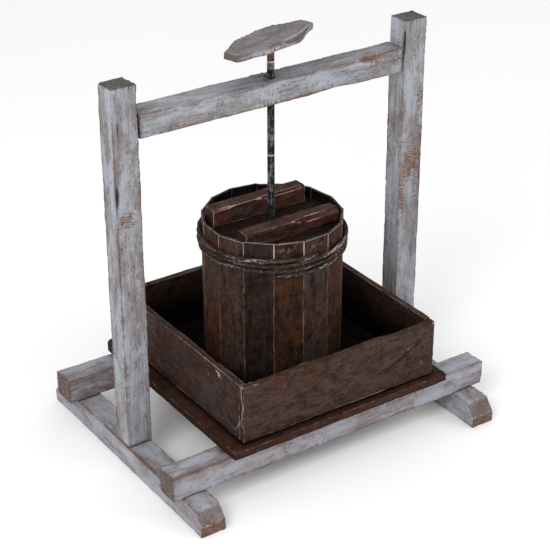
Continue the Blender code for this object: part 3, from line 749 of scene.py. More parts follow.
def make_feet_posts_and_beams(post_paint, low_paint):
    """The two feet, the posts that stand on them and the beams laid across them."""
    foot_low, foot_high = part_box("left_foot")
    foot_height = foot_high[2] - foot_low[2]
    tray_low, tray_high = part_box("tray_bottom_board")
    left_x, front_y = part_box("left_post")[0][:2]
    right_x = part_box("right_post")[0][0]
    beam_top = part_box("front_beam")[1][2]
    rear_beam_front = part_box("rear_beam")[0][1]
    left_edge = (left_x, front_y, 0.0)
    right_edge = (right_x, front_y, 0.0)
    cracks = spots_mm(
        left_edge,
        (7.0, 0, 530, 1.8, 5, 17, 1.50),
        (7.8, 0, 498, 1.8, 5, 18, 1.40),
        (3.0, 0, 404, 2.6, 5, 22, 1.45),
    )
    cracks += spots_mm(right_edge, (1.4, 0, 516, 2, 5, 28, 1.10), (1.4, 0, 270, 2, 4, 14, 0.80))
    sawn = spots_mm(left_edge, (15, 0, 372, 20, 5, 22, 0.98), (11, 0, 515, 7, 5, 34, 0.66))
    sawn += spots_mm(
        right_edge,
        (17, 0, 336, 28, 5, 30, 1.06),
        (31, 0, 430, 8, 5, 42, 0.86),
        (4, 0, 280, 8, 5, 36, 0.98),
        (0, 14, 105, 4, 20, 34, 0.95),
    )
    rubbed = {
        "left_post": spots_mm(
            left_edge,
            (9.5, 0, 505, 4.2, 6, 55, 0.62),
            (4, 0, 420, 4.2, 6, 35, 0.70),
            (9, 0, 340, 8, 6, 50, 0.46),
            (28, 0, 300, 10, 6, 70, 0.50),
            (16, 0, 200, 16, 6, 55, 0.42),
            (24, 0, 415, 12, 6, 40, 0.16),
            (0, 30, 420, 6, 6, 80, 0.14),
            (0, 18, 500, 4, 12, 45, -0.14),
            (0, 12, 240, 6, 12, 50, 0.30),
        ),
        "right_post": spots_mm(
            right_edge,
            (28, 0, 405, 12, 6, 45, 0.42),
            (30, 0, 320, 9, 6, 60, 0.40),
            (20, 0, 515, 16, 6, 40, -0.14),
            (10, 0, 250, 12, 6, 50, 0.35),
            (0, 20, 380, 6, 14, 80, 0.30),
        ),
        "left_foot": [
            *spots_mm(
                (left_x, 0.0, foot_height),
                (8, 40, 0, 9, 26, 10, 0.55),
                (4, -50, 0, 6, 40, 8, 0.60),
            ),
            *spots_mm((left_x, 0.0, 0.0), (0, -60, 20, 6, 30, 16, 0.30)),
        ],
        "right_foot": spots_mm((right_x, 0.0, foot_height), (20, -150, 0, 20, 30, 10, 0.35)),
        "front_beam": [
            *spots_mm((0.0, 0.0, beam_top), (-200, -157, 0, 60, 8, 6, 0.55)),
            *spots_mm(
                (0.0, 0.0, 0.0), (-225, -157, 52, 30, 6, 18, 0.35), (20, -157, 45, 60, 6, 10, 0.38)
            ),
            *spots_mm((0.0, 0.0, beam_top), (225, -140, 0, 30, 14, 6, 0.12)),
        ],
        "rear_beam": [
            *spots_mm((0.0, rear_beam_front, 0.0), (-215, 0, 48, 45, 6, 16, 0.60)),
            *spots_mm((0.0, 0.0, beam_top), (-256, 150, 0, 8, 16, 8, 0.30)),
        ],
    }

    def bevel(verts, half):
        """Slope the foot's top down to its two tips."""
        past = np.clip((np.abs(verts[:, 1]) - (half[1] - FOOT_BEVEL)) / FOOT_BEVEL, 0.0, 1.0)
        share = 1.0 - past * (foot_height - FOOT_TIP_HEIGHT) / foot_height
        shaped = verts.copy()
        shaped[:, 2] = (verts[:, 2] + half[2]) * share - half[2]
        return shaped

    def post_grime(points, normals):
        """Painted shade at the foot of a post, grimy cracks, and its raw timber (below zero)."""
        corner = np.exp(-np.maximum(points[:, 2] - foot_high[2], 0.0) / 0.0022)
        return corner + near_spots(points, cracks) - near_spots(points, sawn)

    def foot_grime(points, normals):
        """Clean, but for the raw brown timber (below zero) of the two tips."""
        tip = smoothstep(foot_high[1] - 0.0030, foot_high[1] - 0.0012, np.abs(points[:, 1]))
        return -1.10 * tip * smoothstep(FOOT_TIP_HEIGHT, FOOT_TIP_HEIGHT - 0.0015, points[:, 2])

    def beam_grime(points, normals):
        """Painted shade on a beam's top beside the tray that lies on it."""
        off_tray = np.maximum(tray_low[0] - points[:, 0], points[:, 0] - tray_high[0])
        upward = smoothstep(0.5, 0.9, normals[:, 2])
        return 0.62 * np.exp(-np.maximum(off_tray, 0.0) / 0.007) * upward

    for index, side in enumerate(("left", "right")):
        foot = side + "_foot"
        low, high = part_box(foot)
        tip = [(x, low[1], FOOT_TIP_HEIGHT) for x in np.linspace(low[0], high[0], 10)]
        rubbed[foot] += [(place, (0.004, 0.003, 0.0012), -0.60) for place in tip]
        place_board(
            foot, "y", FRAME_STYLE, 11 + index, low_paint, "frame_whitewash", bend=bevel,
            cutters=fastener_holes("beam_screw_*_" + side, 0.0005), grime=foot_grime,
            rubbed=rubbed[foot],
        )
        post = side + "_post"
        low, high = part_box(post)
        span = (Vector((low[0], low[1], foot_high[2] + JOINT_GAP)), high)
        place_board(
            post, "z", FRAME_STYLE, 3 + index, post_paint, "frame_whitewash", span=span,
            grime=post_grime, rubbed=rubbed[post],
        )
    for index, line in enumerate(("front", "rear")):
        beam = line + "_beam"
        place_board(
            beam, "x", FRAME_STYLE, 7 + index, low_paint, "frame_whitewash", grime=beam_grime,
            rubbed=rubbed[beam],
        )


def make_crossbar(paint):
    """The crossbar, bored for the rod, let out for the nut, and hewn along its top edge."""
    low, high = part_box("top_crossbar")
    front, bottom, top = low[1], low[2], high[2]
    height = top - bottom
    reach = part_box("right_post")[0][0] - JOINT_GAP
    span = (Vector((-reach, front, bottom)), Vector((reach, high[1], top)))
    nut_low, nut_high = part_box("screw_nut")
    middle = (nut_low + nut_high) / 2
    clear = 2 * JOINT_GAP
    boss_z = nut_high[2] - height / 2 + clear
    plate_z = nut_low[2] + NUT_PLATE_THICKNESS - height / 2 + clear
    cutters = [
        cylinder_cutter(Vector((0.0, 0.0, top)), CROSSBAR_BORE, 1.8 * height),
        cylinder_cutter(Vector((0.0, 0.0, boss_z)), NUT_BOSS_RADIUS, height),
        block_cutter(
            Vector((middle[0], middle[1], plate_z)),
            Vector((nut_high[0] - nut_low[0] + clear, nut_high[1] - nut_low[1] + clear, height)),
        ),
    ]
    on_top = (0.0, front, top)
    on_bottom = (0.0, front, bottom)
    gouges = spots_mm(
        on_top,
        (148, 1, 0, 22, 8, 8, 0.0040),
        (120, 1, 0, 12, 7, 8, 0.0020),
        (-45, 1, 0, 26, 9, 9, 0.0016),
    )
    gouges += spots_mm((0.0, 0.0, top), (-14, -6, 0, 12, 6.5, 10, 0.0030))
    gouges += spots_mm(on_top, (-165, 1, 0, 20, 6, 7, 0.0022))
    gouges += spots_mm(on_bottom, (95, 0, 0, 30, 10, 10, 0.0026))
    rubbed = spots_mm(
        on_top,
        (150, 0, -4, 20, 8, 4.5, 0.95),
        (118, 0, -6, 18, 6, 3, 0.50),
        (-170, 0, -3, 22, 6, 3.5, 0.60),
        (-168, 0, -2.2, 28, 4, 1.2, -1.30),
        (-40, 0, -3.4, 30, 5, 1.5, -1.30),
        (132, 0, -9.5, 30, 4, 0.9, -1.20),
    )
    rubbed += spots_mm(
        (0.0, 0.0, top),
        (110, 4, 0, 60, 10, 10, 0.22),
        (12, -8, -2, 14, 8, 10, 0.50),
        (10, 6, -1, 85, 12, 6, 0.30),
    )
    rubbed += spots_mm(
        on_bottom,
        (-60, 2, 0, 40, 6, 4.5, 0.45),
        (15, 0, 0, 35, 6, 6, 0.60),
        (75, 0, 2, 35, 6, 6, 0.52),
        (-120, 0, 10, 30, 6, 10, 0.25),
        (165, 0, 8, 35, 6, 11, 0.30),
    )
    dark_split = spots_mm(on_top, (-34, 0, -6.4, 24, 4, 1.4, 0.95))
    raw = spots_mm(on_top, (150, 0, -5, 17, 12, 6.2, 1.60), (126, 6, -1, 26, 9, 5, 0.95))
    raw += spots_mm(
        on_bottom,
        (45, 0, 1, 42, 6, 4.5, 1.00),
        (-55, 0, 0, 30, 6, 3.5, 0.85),
        (66, 0, 14, 30, 5, 7.5, 0.72),
        (-15, 0, 4, 30, 5, 6, 0.62),
    )
    # Painted shade on the crossbar's top face: how dark it is along X, deepest under the handle,
    # and more round the rod.
    top_shade_places = (-0.200, -0.120, -0.060, 0.110, 0.200)
    dust_and_shade_amount = (0.10, 0.16, 0.36, 0.33, 0.20)
    places = (-0.205, -0.190, -0.110, -0.066, -0.025, 0.034, 0.070, 0.098, 0.147, 0.172, 0.205)
    drops = (0.0030, 0.0015, 0.0022, 0.0024, 0.0028, 0.0036, 0.0020, 0.0014, 0.0012, 0.0, 0.0)

    def crossbar_grime(points, normals):
        """Grimy shoulders, painted shade on the top that is deepest under the handle and round the
        rod, and raw timber (below zero).
        """
        to_end = np.maximum(reach - np.abs(points[:, 0]), 0.0)
        to_rod = np.hypot(points[:, 0] + 0.003, points[:, 1])
        top_shade = np.interp(points[:, 0], top_shade_places, dust_and_shade_amount)
        top_shade += 0.07 * noise(points, (0.050, 0.010, 0.010), 6)
        top_shade += 0.60 * np.exp(-((to_rod / 0.0078) ** 2))
        darkness = np.exp(-to_end / 0.0028) + smoothstep(0.45, 0.90, normals[:, 2]) * top_shade
        return darkness + near_spots(points, dark_split) - near_spots(points, raw)

    def slumped(verts, half):
        """Let the top's front edge hang lower than its rear edge, most in front of the rod."""
        forward = smoothstep(0.7, -1.0, verts[:, 1] / half[1])
        upper = np.clip(verts[:, 2] / half[2] * 0.5 + 0.5, 0.0, 1.0)
        return sunk(verts, places, drops, forward * upper)

    place_board(
        "top_crossbar", "x", FRAME_STYLE, 5, paint, "frame_whitewash", name="worn_crossbar",
        span=span, gouges=gouges, bend=slumped, cutters=cutters, grime=crossbar_grime,
        rubbed=rubbed,
    )


def make_tray(wall_material, left_material, board_material):
    """The tray's bottom board and its four walls, painted darkest inside as shade."""
    floor_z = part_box("tray_bottom_board")[1][2]
    rim_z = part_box("tray_front_wall")[1][2]
    inner_low = np.array((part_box("tray_left_wall")[1][0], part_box("tray_front_wall")[1][1]))
    inner_high = np.array((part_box("tray_right_wall")[0][0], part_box("tray_rear_wall")[0][1]))
    centre = (inner_low + inner_high) / 2
    left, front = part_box("tray_front_wall")[0][:2]
    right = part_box("tray_front_wall")[1][0]
    knot = np.array((0.005, front, 0.098))
    scar = np.linspace((0.088, front, 0.117), (0.142, front, 0.143), 22)

    def inside_grime(points, normals):
        """Painted shade inside the tray: none outside, and darkest at a wall's foot."""
        facing = -(normals[:, :2] * np.sign(points[:, :2] - centre)).sum(axis=1)
        inside = smoothstep(0.2, 0.7, facing)
        depth = smoothstep(rim_z, floor_z + 0.02, points[:, 2])
        return inside * (0.35 + 0.65 * depth)

    def board_grime(points, normals):
        """Painted shade: black inside the walls and dark in the corner just outside them."""
        over = np.maximum(inner_low - points[:, :2], points[:, :2] - inner_high).max(axis=1)
        return np.where(normals[:, 2] > 0.5, smoothstep(0.020, 0.008, over), 0.0)

    def front_grime(points, normals):
        """The inside's painted shade, and the dark eye and ring of a knot outside."""
        from_knot = np.linalg.norm((points - knot) * (0.8, 1.0, 1.0), axis=1)
        eye = 0.85 * np.exp(-((from_knot / 0.0030) ** 2))
        halo = 0.55 * np.exp(-(((from_knot - 0.0066) / 0.0013) ** 2))
        spots = [((left, front + 0.006, 0.120), (0.002, 0.003, 0.040), 0.25)]
        spots += [(place, (0.0025, 0.004, 0.0016), 0.60) for place in scar]
        darkness = inside_grime(points, normals) + eye + halo + near_spots(points, spots)
        return np.minimum(darkness, 1.0)

    def round_corner(verts, half):
        """Round off the board's rear left corner."""
        radius = 0.016
        corner = np.array((radius - half[0], half[1] - radius))
        offset = verts[:, :2] - corner
        length = np.linalg.norm(offset, axis=1)
        outside = (offset[:, 0] < 0.0) & (offset[:, 1] > 0.0) & (length > radius)
        shaped = verts.copy()
        shaped[outside, :2] = corner + offset[outside] * (radius / length[outside])[:, None]
        return shaped

    def worn_down(verts, half):
        """Let the top edge dip where hands have worn it."""
        places = (-0.157, -0.100, -0.060, -0.010, 0.060, 0.096, 0.115, 0.130, 0.150, 0.157)
        drops = (0.0, 0.0012, 0.0002, 0.0014, 0.0004, 0.0042, 0.0030, 0.0036, 0.0020, 0.0018)
        upper = np.clip(verts[:, 2] / half[2] * 2.0 - 1.0, 0.0, 1.0)
        return sunk(verts, places, drops, upper)

    def split(share):
        """The cracked corner, from the rim down."""
        swerve = 0.0016 * math.sin(9.0 * share) + 0.0008 * math.sin(23.0 * share)
        return left, front + 0.0042 + swerve, rim_z - 0.062 * share

    def branch(share):
        """The crack that leaves the corner low on the left wall."""
        return left, front + 0.005 + 0.017 * share ** 1.3, rim_z - 0.044 - 0.031 * share

    def chipped_line(share):
        """The upper line of the chip in the left wall."""
        sway = 0.0012 * math.sin(9.0 * share)
        return left, -0.084 - 0.020 * share, rim_z - 0.003 - 0.009 * share - sway

    def chipped_fork(share):
        """The line that leaves the chip downwards."""
        return left, -0.096 + 0.003 * share ** 2, rim_z - 0.008 - 0.010 * share

    place_board(
        "tray_bottom_board", "x", LIP_STYLE, 21, board_material, "tray_stain",
        name="worn_tray_board", bend=round_corner,
        cutters=fastener_holes("wall_nail_*", 0.0004), grime=board_grime,
    )
    details = {
        "front": {
            "bend": worn_down,
            "step": FINE_STEP,
            "gouges": [(place, (0.0030, 0.0060, 0.0020), 0.0011) for place in scar],
            "rubbed": [
                *((place + (0.0, 0.0, 0.0032), (0.003, 0.004, 0.0013), 0.20) for place in scar),
                *trail(split, 26, (0.003, 0.0010, 0.0022), 0.95),
                *spots_mm(
                    (0.0, front, 0.0),
                    (115, 0, 136, 30, 4, 6, 0.18),
                    (20, 0, 125, 50, 4, 30, 0.12),
                    (146, 0, 112, 14, 4, 30, 0.17),
                ),
                *spots_mm((0.0, front, rim_z), (-129, 0, 0, 4, 6, 3, 0.60)),
                *spots_mm((right, front, rim_z), (-3, 0, -4, 4, 6, 4, 0.60)),
            ],
            "grime": front_grime,
        },
        "left": {
            "step": FINE_STEP,
            "rubbed": [
                *trail(branch, 22, (0.003, 0.0009, 0.0012), 0.72),
                *trail(chipped_line, 18, (0.003, 0.0012, 0.0009), 0.40),
                *trail(chipped_fork, 10, (0.003, 0.0009, 0.0011), 0.32),
                *spots_mm(
                    (left, 0.0, rim_z), (0, -97, -8, 3, 8, 5, 0.50), (0, -80, 0, 4, 40, 2, 0.25)
                ),
            ],
        },
    }
    grains = {"front": "x", "rear": "x", "left": "y", "right": "y"}
    for index, (side, grain) in enumerate(grains.items()):
        node = "tray_" + side + "_wall"
        material = left_material if side == "left" else wall_material
        extra = {"grime": inside_grime, **details.get(side, {})}
        place_board(node, grain, TRAY_STYLE, 31 + index, material, "tray_stain", **extra)


def make_barrel(stave_materials):
    """Fifteen staves and the base disc."""
    step = math.tau / STAVE_COUNT
    outer = BARREL_RADIUS * math.cos(step / 2)
    half_width = outer * math.tan(step / 2)
    bright_seams = ((0, -1), (0, 1), (STAVE_COUNT - 1, 1), (1, -1), (3, -1))

    def stave_grime(points, normals):
        """Painted shade: black inside the barrel and dark near its foot, down in the tray."""
        foot = smoothstep(0.135, 0.088, points[:, 2])
        inside = smoothstep(-0.3, -0.8, normals[:, 0])
        return np.maximum(0.75 * foot, 0.80 * inside)

    for index in range(STAVE_COUNT):
        node = f"stave_{index + 1:02d}"
        low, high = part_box(node)
        span = (
            Vector((outer - STAVE_THICKNESS, -half_width, low[2])),
            Vector((outer, half_width, high[2])),
        )
        rubbed = spots_mm(
            (outer, 0.0, high[2]),
            (-2, 0, -10, 10, 30, 10, 0.47 if index < 2 else 0.33),
            (0, 0, 0, 3, 40, 1.2, 0.29),
        )
        for seam, side in bright_seams:
            if seam == index:
                seam_top = (outer, side * half_width, high[2])
                rubbed += spots_mm(seam_top, (0, 0, -15, 3, 0.8, 18, 0.40))
        mesh = make_board(
            node, "z", STAVE_STYLE, 41 + index, span=span, grime=stave_grime, rubbed=rubbed
        )
        points = corner_vectors(mesh)
        points[:, 1] *= points[:, 0] / outer
        angle = STAVE_SEAM_ANGLE + step * (index + 0.5)
        set_points(mesh, turned(points, angle) + (BARREL_X, 0.0, 0.0))
        material = stave_materials[index % len(stave_materials)]
        place_piece("worn_" + node, mesh, material, "stand", "stave_stain", node)
    # The barrel base is painted dark as shade, down inside the barrel.
    place_disc("barrel_base", 61, 0.8, stave_materials[0], "stand", "stave_stain")


def place_disc(node, seed, darkness, material, body, slot, cutters=()):
    """Put a worn round board in place of its CAD node.

    Its fibres run along X, and it is painted dark as shade all over, darkest at its rim.
    """
    rings = 26
    sides = 120
    edge = 0.0016            # the size of the rounding at the rim
    dip = 0.0006             # the depth of the hollows in its upper face
    shrinkage = 0.0008       # how much the rim may stand back
    box_low, box_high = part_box(node)
    low, high = box_low[2], box_high[2]
    radius = (box_high[0] - box_low[0]) / 2
    middle = np.array(((box_low[0] + box_high[0]) / 2, 0.0, 0.0))
    shares = np.linspace(1.0 / rings, 1.0 - 2 * edge / radius, rings)
    rounding = ((0.4, 0.1), (0.1, 0.5), (0.0, 1.4))      # how far in and down, in edges
    corner = [(radius - inward * edge, down * edge) for inward, down in rounding]
    profile = [(radius * share, high) for share in shares]
    profile += [(r, high - drop) for r, drop in corner]
    profile += [(r, low + drop) for r, drop in corner[::-1]]
    profile += [(radius * share, low) for share in shares[::-1]]
    verts = np.concatenate([ring(r, z, sides) for r, z in profile])
    faces = ring_quads(len(profile), sides, downwards=True)
    top_middle = len(verts)
    last = top_middle - sides
    for side in range(sides):
        after = (side + 1) % sides
        faces += [(side, after, top_middle), (last + after, last + side, top_middle + 1)]
    verts = np.concatenate((verts, ((0.0, 0.0, high), (0.0, 0.0, low))))
    outward = smoothstep(0.90 * radius, radius, np.hypot(verts[:, 0], verts[:, 1]))
    dips = 0.5 + 0.5 * noise(verts + 1.7 * seed, (0.05, 0.016, 0.05), seed)
    verts[:, 2] -= np.where(verts[:, 2] > (low + high) / 2, dip * dips, 0.0)
    uneven = 0.5 + 0.5 * noise(verts, (0.02, 0.02, 0.05), seed + 1)
    verts[:, :2] *= (1.0 - shrinkage / radius * outward * uneven)[:, None]
    mesh = make_mesh(node, verts + middle, faces)
    if cutters:
        mesh = drill(mesh, cutters)
        mesh.shade_smooth()
        verts = corner_vectors(mesh) - middle
    mesh.set_sharp_from_angle(angle=ROUND_CREASE)
    to_rim = radius - np.hypot(verts[:, 0], verts[:, 1])
    edge_wear = np.exp(-np.maximum(to_rim, 0.0) / 0.0012)
    end = smoothstep(0.6, 0.9, np.abs(corner_vectors(mesh, "normal")[:, 0]))
    # Painted shade: dark all over by the given amount, darker still towards the rim.
    grime = darkness + (0.84 - darkness) * smoothstep(0.030, 0.008, to_rim)
    set_vectors(mesh, "grain", verts + 0.37 * seed)
    set_vectors(mesh, "look", columns(edge_wear, end, grime))
    place_piece("worn_" + node, mesh, material, body, slot, node)


def make_press_head(material):
    """The press plate and its two bars, whose front top edges are partly broken away."""
    holes = fastener_holes("bar_nail_*", 0.0004)
    # The plate is painted dark as shade, and black at its rim where it sits down in the barrel.
    place_disc("press_plate", 63, 0.68, material, "press_head", "press_stain", holes)
    pared_edges = {
        "front": ((-0.001, 0.008, 0.030, 0.070), (0.0, 0.0045, 0.0060, 0.0050)),
        "rear": (
            (-0.075, -0.050, -0.034, -0.012, 0.010, 0.072),
            (0.0030, 0.0024, 0.0, 0.0, 0.0045, 0.0034),
        ),
    }
    for index, (side, (stations, widths)) in enumerate(pared_edges.items()):
        node = "press_bar_" + side
        low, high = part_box(node)
        local = np.array(stations) - (low[0] + high[0]) / 2
        place_board(
            node, "x", BAR_STYLE, 71 + index, material, "press_stain", "press_head",
            bend=lambda verts, half: pared(verts, half, local, widths),
            rubbed=pared_borders(low[1], high[2], stations, widths, 0.66),
        )


def rope_centre(turns):
    """The middle of the rope after a number of turns round the barrel's flats."""
    angle = STAVE_SEAM_ANGLE + math.tau * turns
    step = math.tau / STAVE_COUNT
    flat = BARREL_RADIUS * math.cos(step / 2)
    wall = 0.0
    spread = np.linspace(-0.35, 0.35, 9) * step
    for shift in spread:
        off_flat = np.mod(angle + shift - STAVE_SEAM_ANGLE, step) - step / 2
        wall = wall + flat / np.cos(off_flat) / len(spread)
    sag = ROPE_SAG * (1.0 - np.cos(angle - STAVE_SEAM_ANGLE))
    radius = wall + JOINT_GAP + ROPE_DIAMETER * 0.46
    wander = 0.0009 * noise(columns(turns * 12.0, 0, 0), 1.0, 5)
    height = ROPE_LOW + ROPE_PITCH * turns + sag + wander
    return columns(radius * np.cos(angle) + BARREL_X, radius * np.sin(angle), height)


def make_rope(material):
    """One rope of three strands, wound round the staves."""
    strands = 3
    lay = 0.095              # the length in which a strand goes once round the rope
    sides = 12
    row_step = 0.0014
    strand_radius = 0.28 * ROPE_DIAMETER
    strand_offset = 0.225 * ROPE_DIAMETER
    length = math.tau * (BARREL_RADIUS + ROPE_DIAMETER / 2) * ROPE_TURNS
    count = int(length / row_step)
    centre = rope_centre(np.linspace(0.0, ROPE_TURNS, count))
    along = unit(np.gradient(centre, axis=0))
    outward = unit(np.cross(along, (0.0, 0.0, 1.0)))
    upward = np.cross(outward, along)
    run = np.linspace(0.0, length, count)
    end_taper = np.clip(np.minimum(run, length - run) / 0.012, 0.25, 1.0)[:, None]
    top_turn = ROPE_LOW + ROPE_PITCH * (ROPE_TURNS - 0.6) + ROPE_SAG
    chafed_spots = spots_mm(
        (0.0, 0.0, top_turn),
        (40, -92, 0, 28, 26, 4.5, 1.00),
        (-75, -70, 0, 40, 30, 5, 0.45),
        (85, -55, -8, 30, 30, 5, 0.35),
    )
    twist = noise(columns(run, 0, 0), (0.045, 1.0, 1.0), 12)
    row = np.arange(count - 1)
    verts, faces, caps, grain, look = [], [], [], [], []
    for strand in range(strands):
        phase = math.tau * (run / lay + 0.22 * twist + strand / strands)
        line = columns(run, strand, 0)
        swell = noise(line, (0.011, 1.0, 1.0), 9)[:, None]
        wobble = noise(line, (0.02, 1.0, 1.0), 10)[:, None]
        thick = strand_radius * end_taper * (1.0 + 0.16 * swell)
        lean = np.cos(phase)[:, None] * outward + np.sin(phase)[:, None] * upward
        path = centre + strand_offset * end_taper * lean + 0.0004 * wobble * upward
        chafe = near_spots(path, chafed_spots)
        starts = [(strand * sides + side) * count for side in range(sides)]
        caps += [starts, [corner + count - 1 for corner in reversed(starts)]]
        for side in range(sides):
            around = math.tau * side / sides + math.pi
            offset = math.cos(around) * outward + math.sin(around) * upward
            spot = columns(run, 0.01 * strand, 0.0016 * side)
            fray = 1.0 + 0.26 * noise(spot, (0.0042, 0.01, 0.003), 14)[:, None]
            verts.append(path + thick * fray * offset)
            crown = np.clip(math.cos(around) * 0.5 + 0.5 * np.cos(phase), 0.0, 1.0)
            look.append(columns(crown, chafe, 0))
            grain.append(columns(run, 0.11 * strand, 0.0009 * side))
            a = starts[side] + row
            b = starts[(side + 1) % sides] + row
            faces += columns(a, a + 1, b + 1, b).tolist()
    mesh = make_mesh("rope_hoop", np.concatenate(verts), faces + caps)
    set_vectors(mesh, "grain", np.concatenate(grain))
    set_vectors(mesh, "look", np.concatenate(look))
    place_piece("laid_rope", mesh, material, "stand", "rope", "rope_hoop")


def make_rod(material):
    """The threaded rod: fine thread all the way up to a plain, stained neck."""
    low, high = (corner[2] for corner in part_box("screw_rod"))
    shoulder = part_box("press_plate")[1][2] + JOINT_GAP
    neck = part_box("handle")[0][2] - JOINT_GAP
    thread_top = neck - 0.008
    spigot = 0.004
    chamfer = 0.001
    sides = 32
    seal = 0.0001            # the height of the steps between the spigots and the rod
    heights = np.concatenate((
        (low, low + chamfer, shoulder - seal),
        np.arange(shoulder, thread_top, THREAD_PITCH / 5),
        np.linspace(thread_top, neck, 12),
        (neck + seal, high),
    ))
    rings = []
    for height in heights:
        radius = ROD_RADIUS
        if height < shoulder or height > neck:
            radius = spigot - (chamfer if height in (low, high) else 0.0)
        elif height < thread_top:
            phase = np.mod(height / THREAD_PITCH - np.arange(sides) / sides, 1.0)
            groove = np.clip(1.4 * np.abs(2.0 * phase - 1.0) - 0.2, 0.0, 1.0)
            radius = ROD_RADIUS - THREAD_DEPTH * groove
        rings.append(ring(radius, height, sides))
    verts = np.concatenate(rings)
    faces = ring_quads(len(rings), sides)
    faces += [list(range(sides))[::-1], list(range(len(verts) - sides, len(verts)))]
    mesh = make_mesh("screw_rod", verts, faces)
    mesh.set_sharp_from_angle(angle=ROUND_CREASE)
    below_neck = neck - verts[:, 2]
    stain_end = 0.0225
    stain = smoothstep(stain_end, stain_end - 0.0025, below_neck)
    mark = 0.75 * smoothstep(0.0015, 0.0006, np.abs(below_neck - stain_end))
    mark = np.maximum(mark, 0.45 * smoothstep(0.0018, 0.0006, np.abs(below_neck - 0.153)))
    scoured = 0.26 * np.exp(-(((below_neck - 0.120) / 0.018) ** 2))
    scoured += 0.12 * np.exp(-(((below_neck - 0.208) / 0.026) ** 2))
    grey = smoothstep(stain_end, stain_end + 0.0015, below_neck)
    grey = grey * smoothstep(0.0335, 0.0315, below_neck)
    set_vectors(mesh, "grain", verts[:, (2, 0, 1)])
    set_vectors(mesh, "look", columns(scoured * (1.0 - grey) - grey, stain, mark))
    place_piece("threaded_rod", mesh, material, "screw", "rod_steel", "screw_rod")


def make_handle(material):
    """The leaf-shaped turning handle, knife-cut round its edge and split at the front."""
    low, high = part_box("handle")
    half = np.array((0.082, 0.032, (high[2] - low[2]) / 2))
    split = (-0.006, 0.004, 0.018, 0.034, 0.050, 0.066, 0.078)
    widths = (0.0, 0.0070, 0.0082, 0.0100, 0.0070, 0.0050, 0.0030)
    notches = []
    for index in range(12):
        place = (-0.072 + 0.0064 * index, -half[1], half[2] * (0.9 - 0.6 * (index % 3)))
        depth = 0.0024 + 0.0010 * math.sin(4.1 * index)
        notches.append((place, (0.0018, 0.0060, 0.0040), depth))
    nicks = []
    for index in range(14):
        place = (-0.066 + 0.0098 * index + 0.002 * math.sin(7.0 * index), half[1], half[2])
        depth = 0.0012 + 0.0010 * math.sin(5.3 * index)
        nicks.append((place, (0.0022, 0.0040, 0.0040), depth))
    chamfer = []
    for x in np.arange(0.002, 0.072, 0.006):
        width = float(np.interp(x, split, widths)) / 2
        chamfer.append(((x, width - half[1], half[2] - width), (0.004, width, width), 0.90))
    rubbed = spots_mm((-half[0], 0.0, 0.0), (0, 2, -2, 4, 24, 4, 0.95))
    rubbed += pared_borders(-half[1], half[2], split, widths, -1.2, 1.1)
    rubbed += spots_mm((0.0, -half[1], 0.0), (-36, 0, 0, 40, 4, 5, -1.05))
    rubbed += spots_mm((0.0, 0.0, half[2]), (-78, -12, 0, 6, 20, 3, -0.45))

    def carved(verts, half):
        """Cut the notches and the nicks, and split off the front edge."""
        shaped = verts.copy()
        for place, reach, depth in notches + nicks:
            cut = near_spots(shaped, [(place, reach, depth)])
            shaped[:, 1] -= np.sign(place[1]) * cut
            shaped[:, 2] -= cut * 0.45
        return pared(shaped, half, split, widths, 1.1)

    def notch_grime(points, normals):
        """Dark hollows left by the knife, and raw timber (below zero) where the edge split off."""
        dark = near_spots(points, [(place, reach, 0.42) for place, reach, _ in notches])
        return np.minimum(dark, 1.0) - near_spots(points, chamfer)

    mesh = make_board(
        "handle", "x", HANDLE_STYLE, 81, span=(-half, half), bend=carved, grime=notch_grime,
        rubbed=rubbed,
    )
    outline = MM * np.array((
        (-82, 10.5, 10.0), (-70, 15.5, 15.0), (-53, 23.0, 16.5), (-36, 29.8, 24.0),
        (-18, 31.2, 24.5), (2, 31.8, 26.5), (26, 31.8, 28.5), (42, 28.5, 24.0),
        (52, 22.0, 18.5), (66, 16.0, 13.0), (82, 10.0, 8.5),
    ))
    stations, rear, front = outline.T
    points = corner_vectors(mesh)
    share = points[:, 1] / half[1]
    rear_half = np.interp(points[:, 0], stations, rear)
    front_half = np.interp(points[:, 0], stations, front)
    points[:, 1] = share * np.where(share > 0.0, rear_half, front_half)
    points[:, 0] = points[:, 0] * 0.98 - 0.001
    set_points(mesh, turned(points, HANDLE_ANGLE) + (0.0, 0.0, (low[2] + high[2]) / 2))
    place_piece("carved_handle", mesh, material, "screw", "handle_paint", "handle")


def dress_fasteners(material, dark_material):
    """Give every CAD node that still shows its steel; what the rod touches is black like it."""
    for name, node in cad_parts.items():
        if name not in REPLACED:
            on_rod = name in ("thrust_washer", "lower_washer", "lock_nut")
            node.data.materials.clear()
            node.data.materials.append(dark_material if on_rod else material)


# ---------------------------------------------------------------- stage


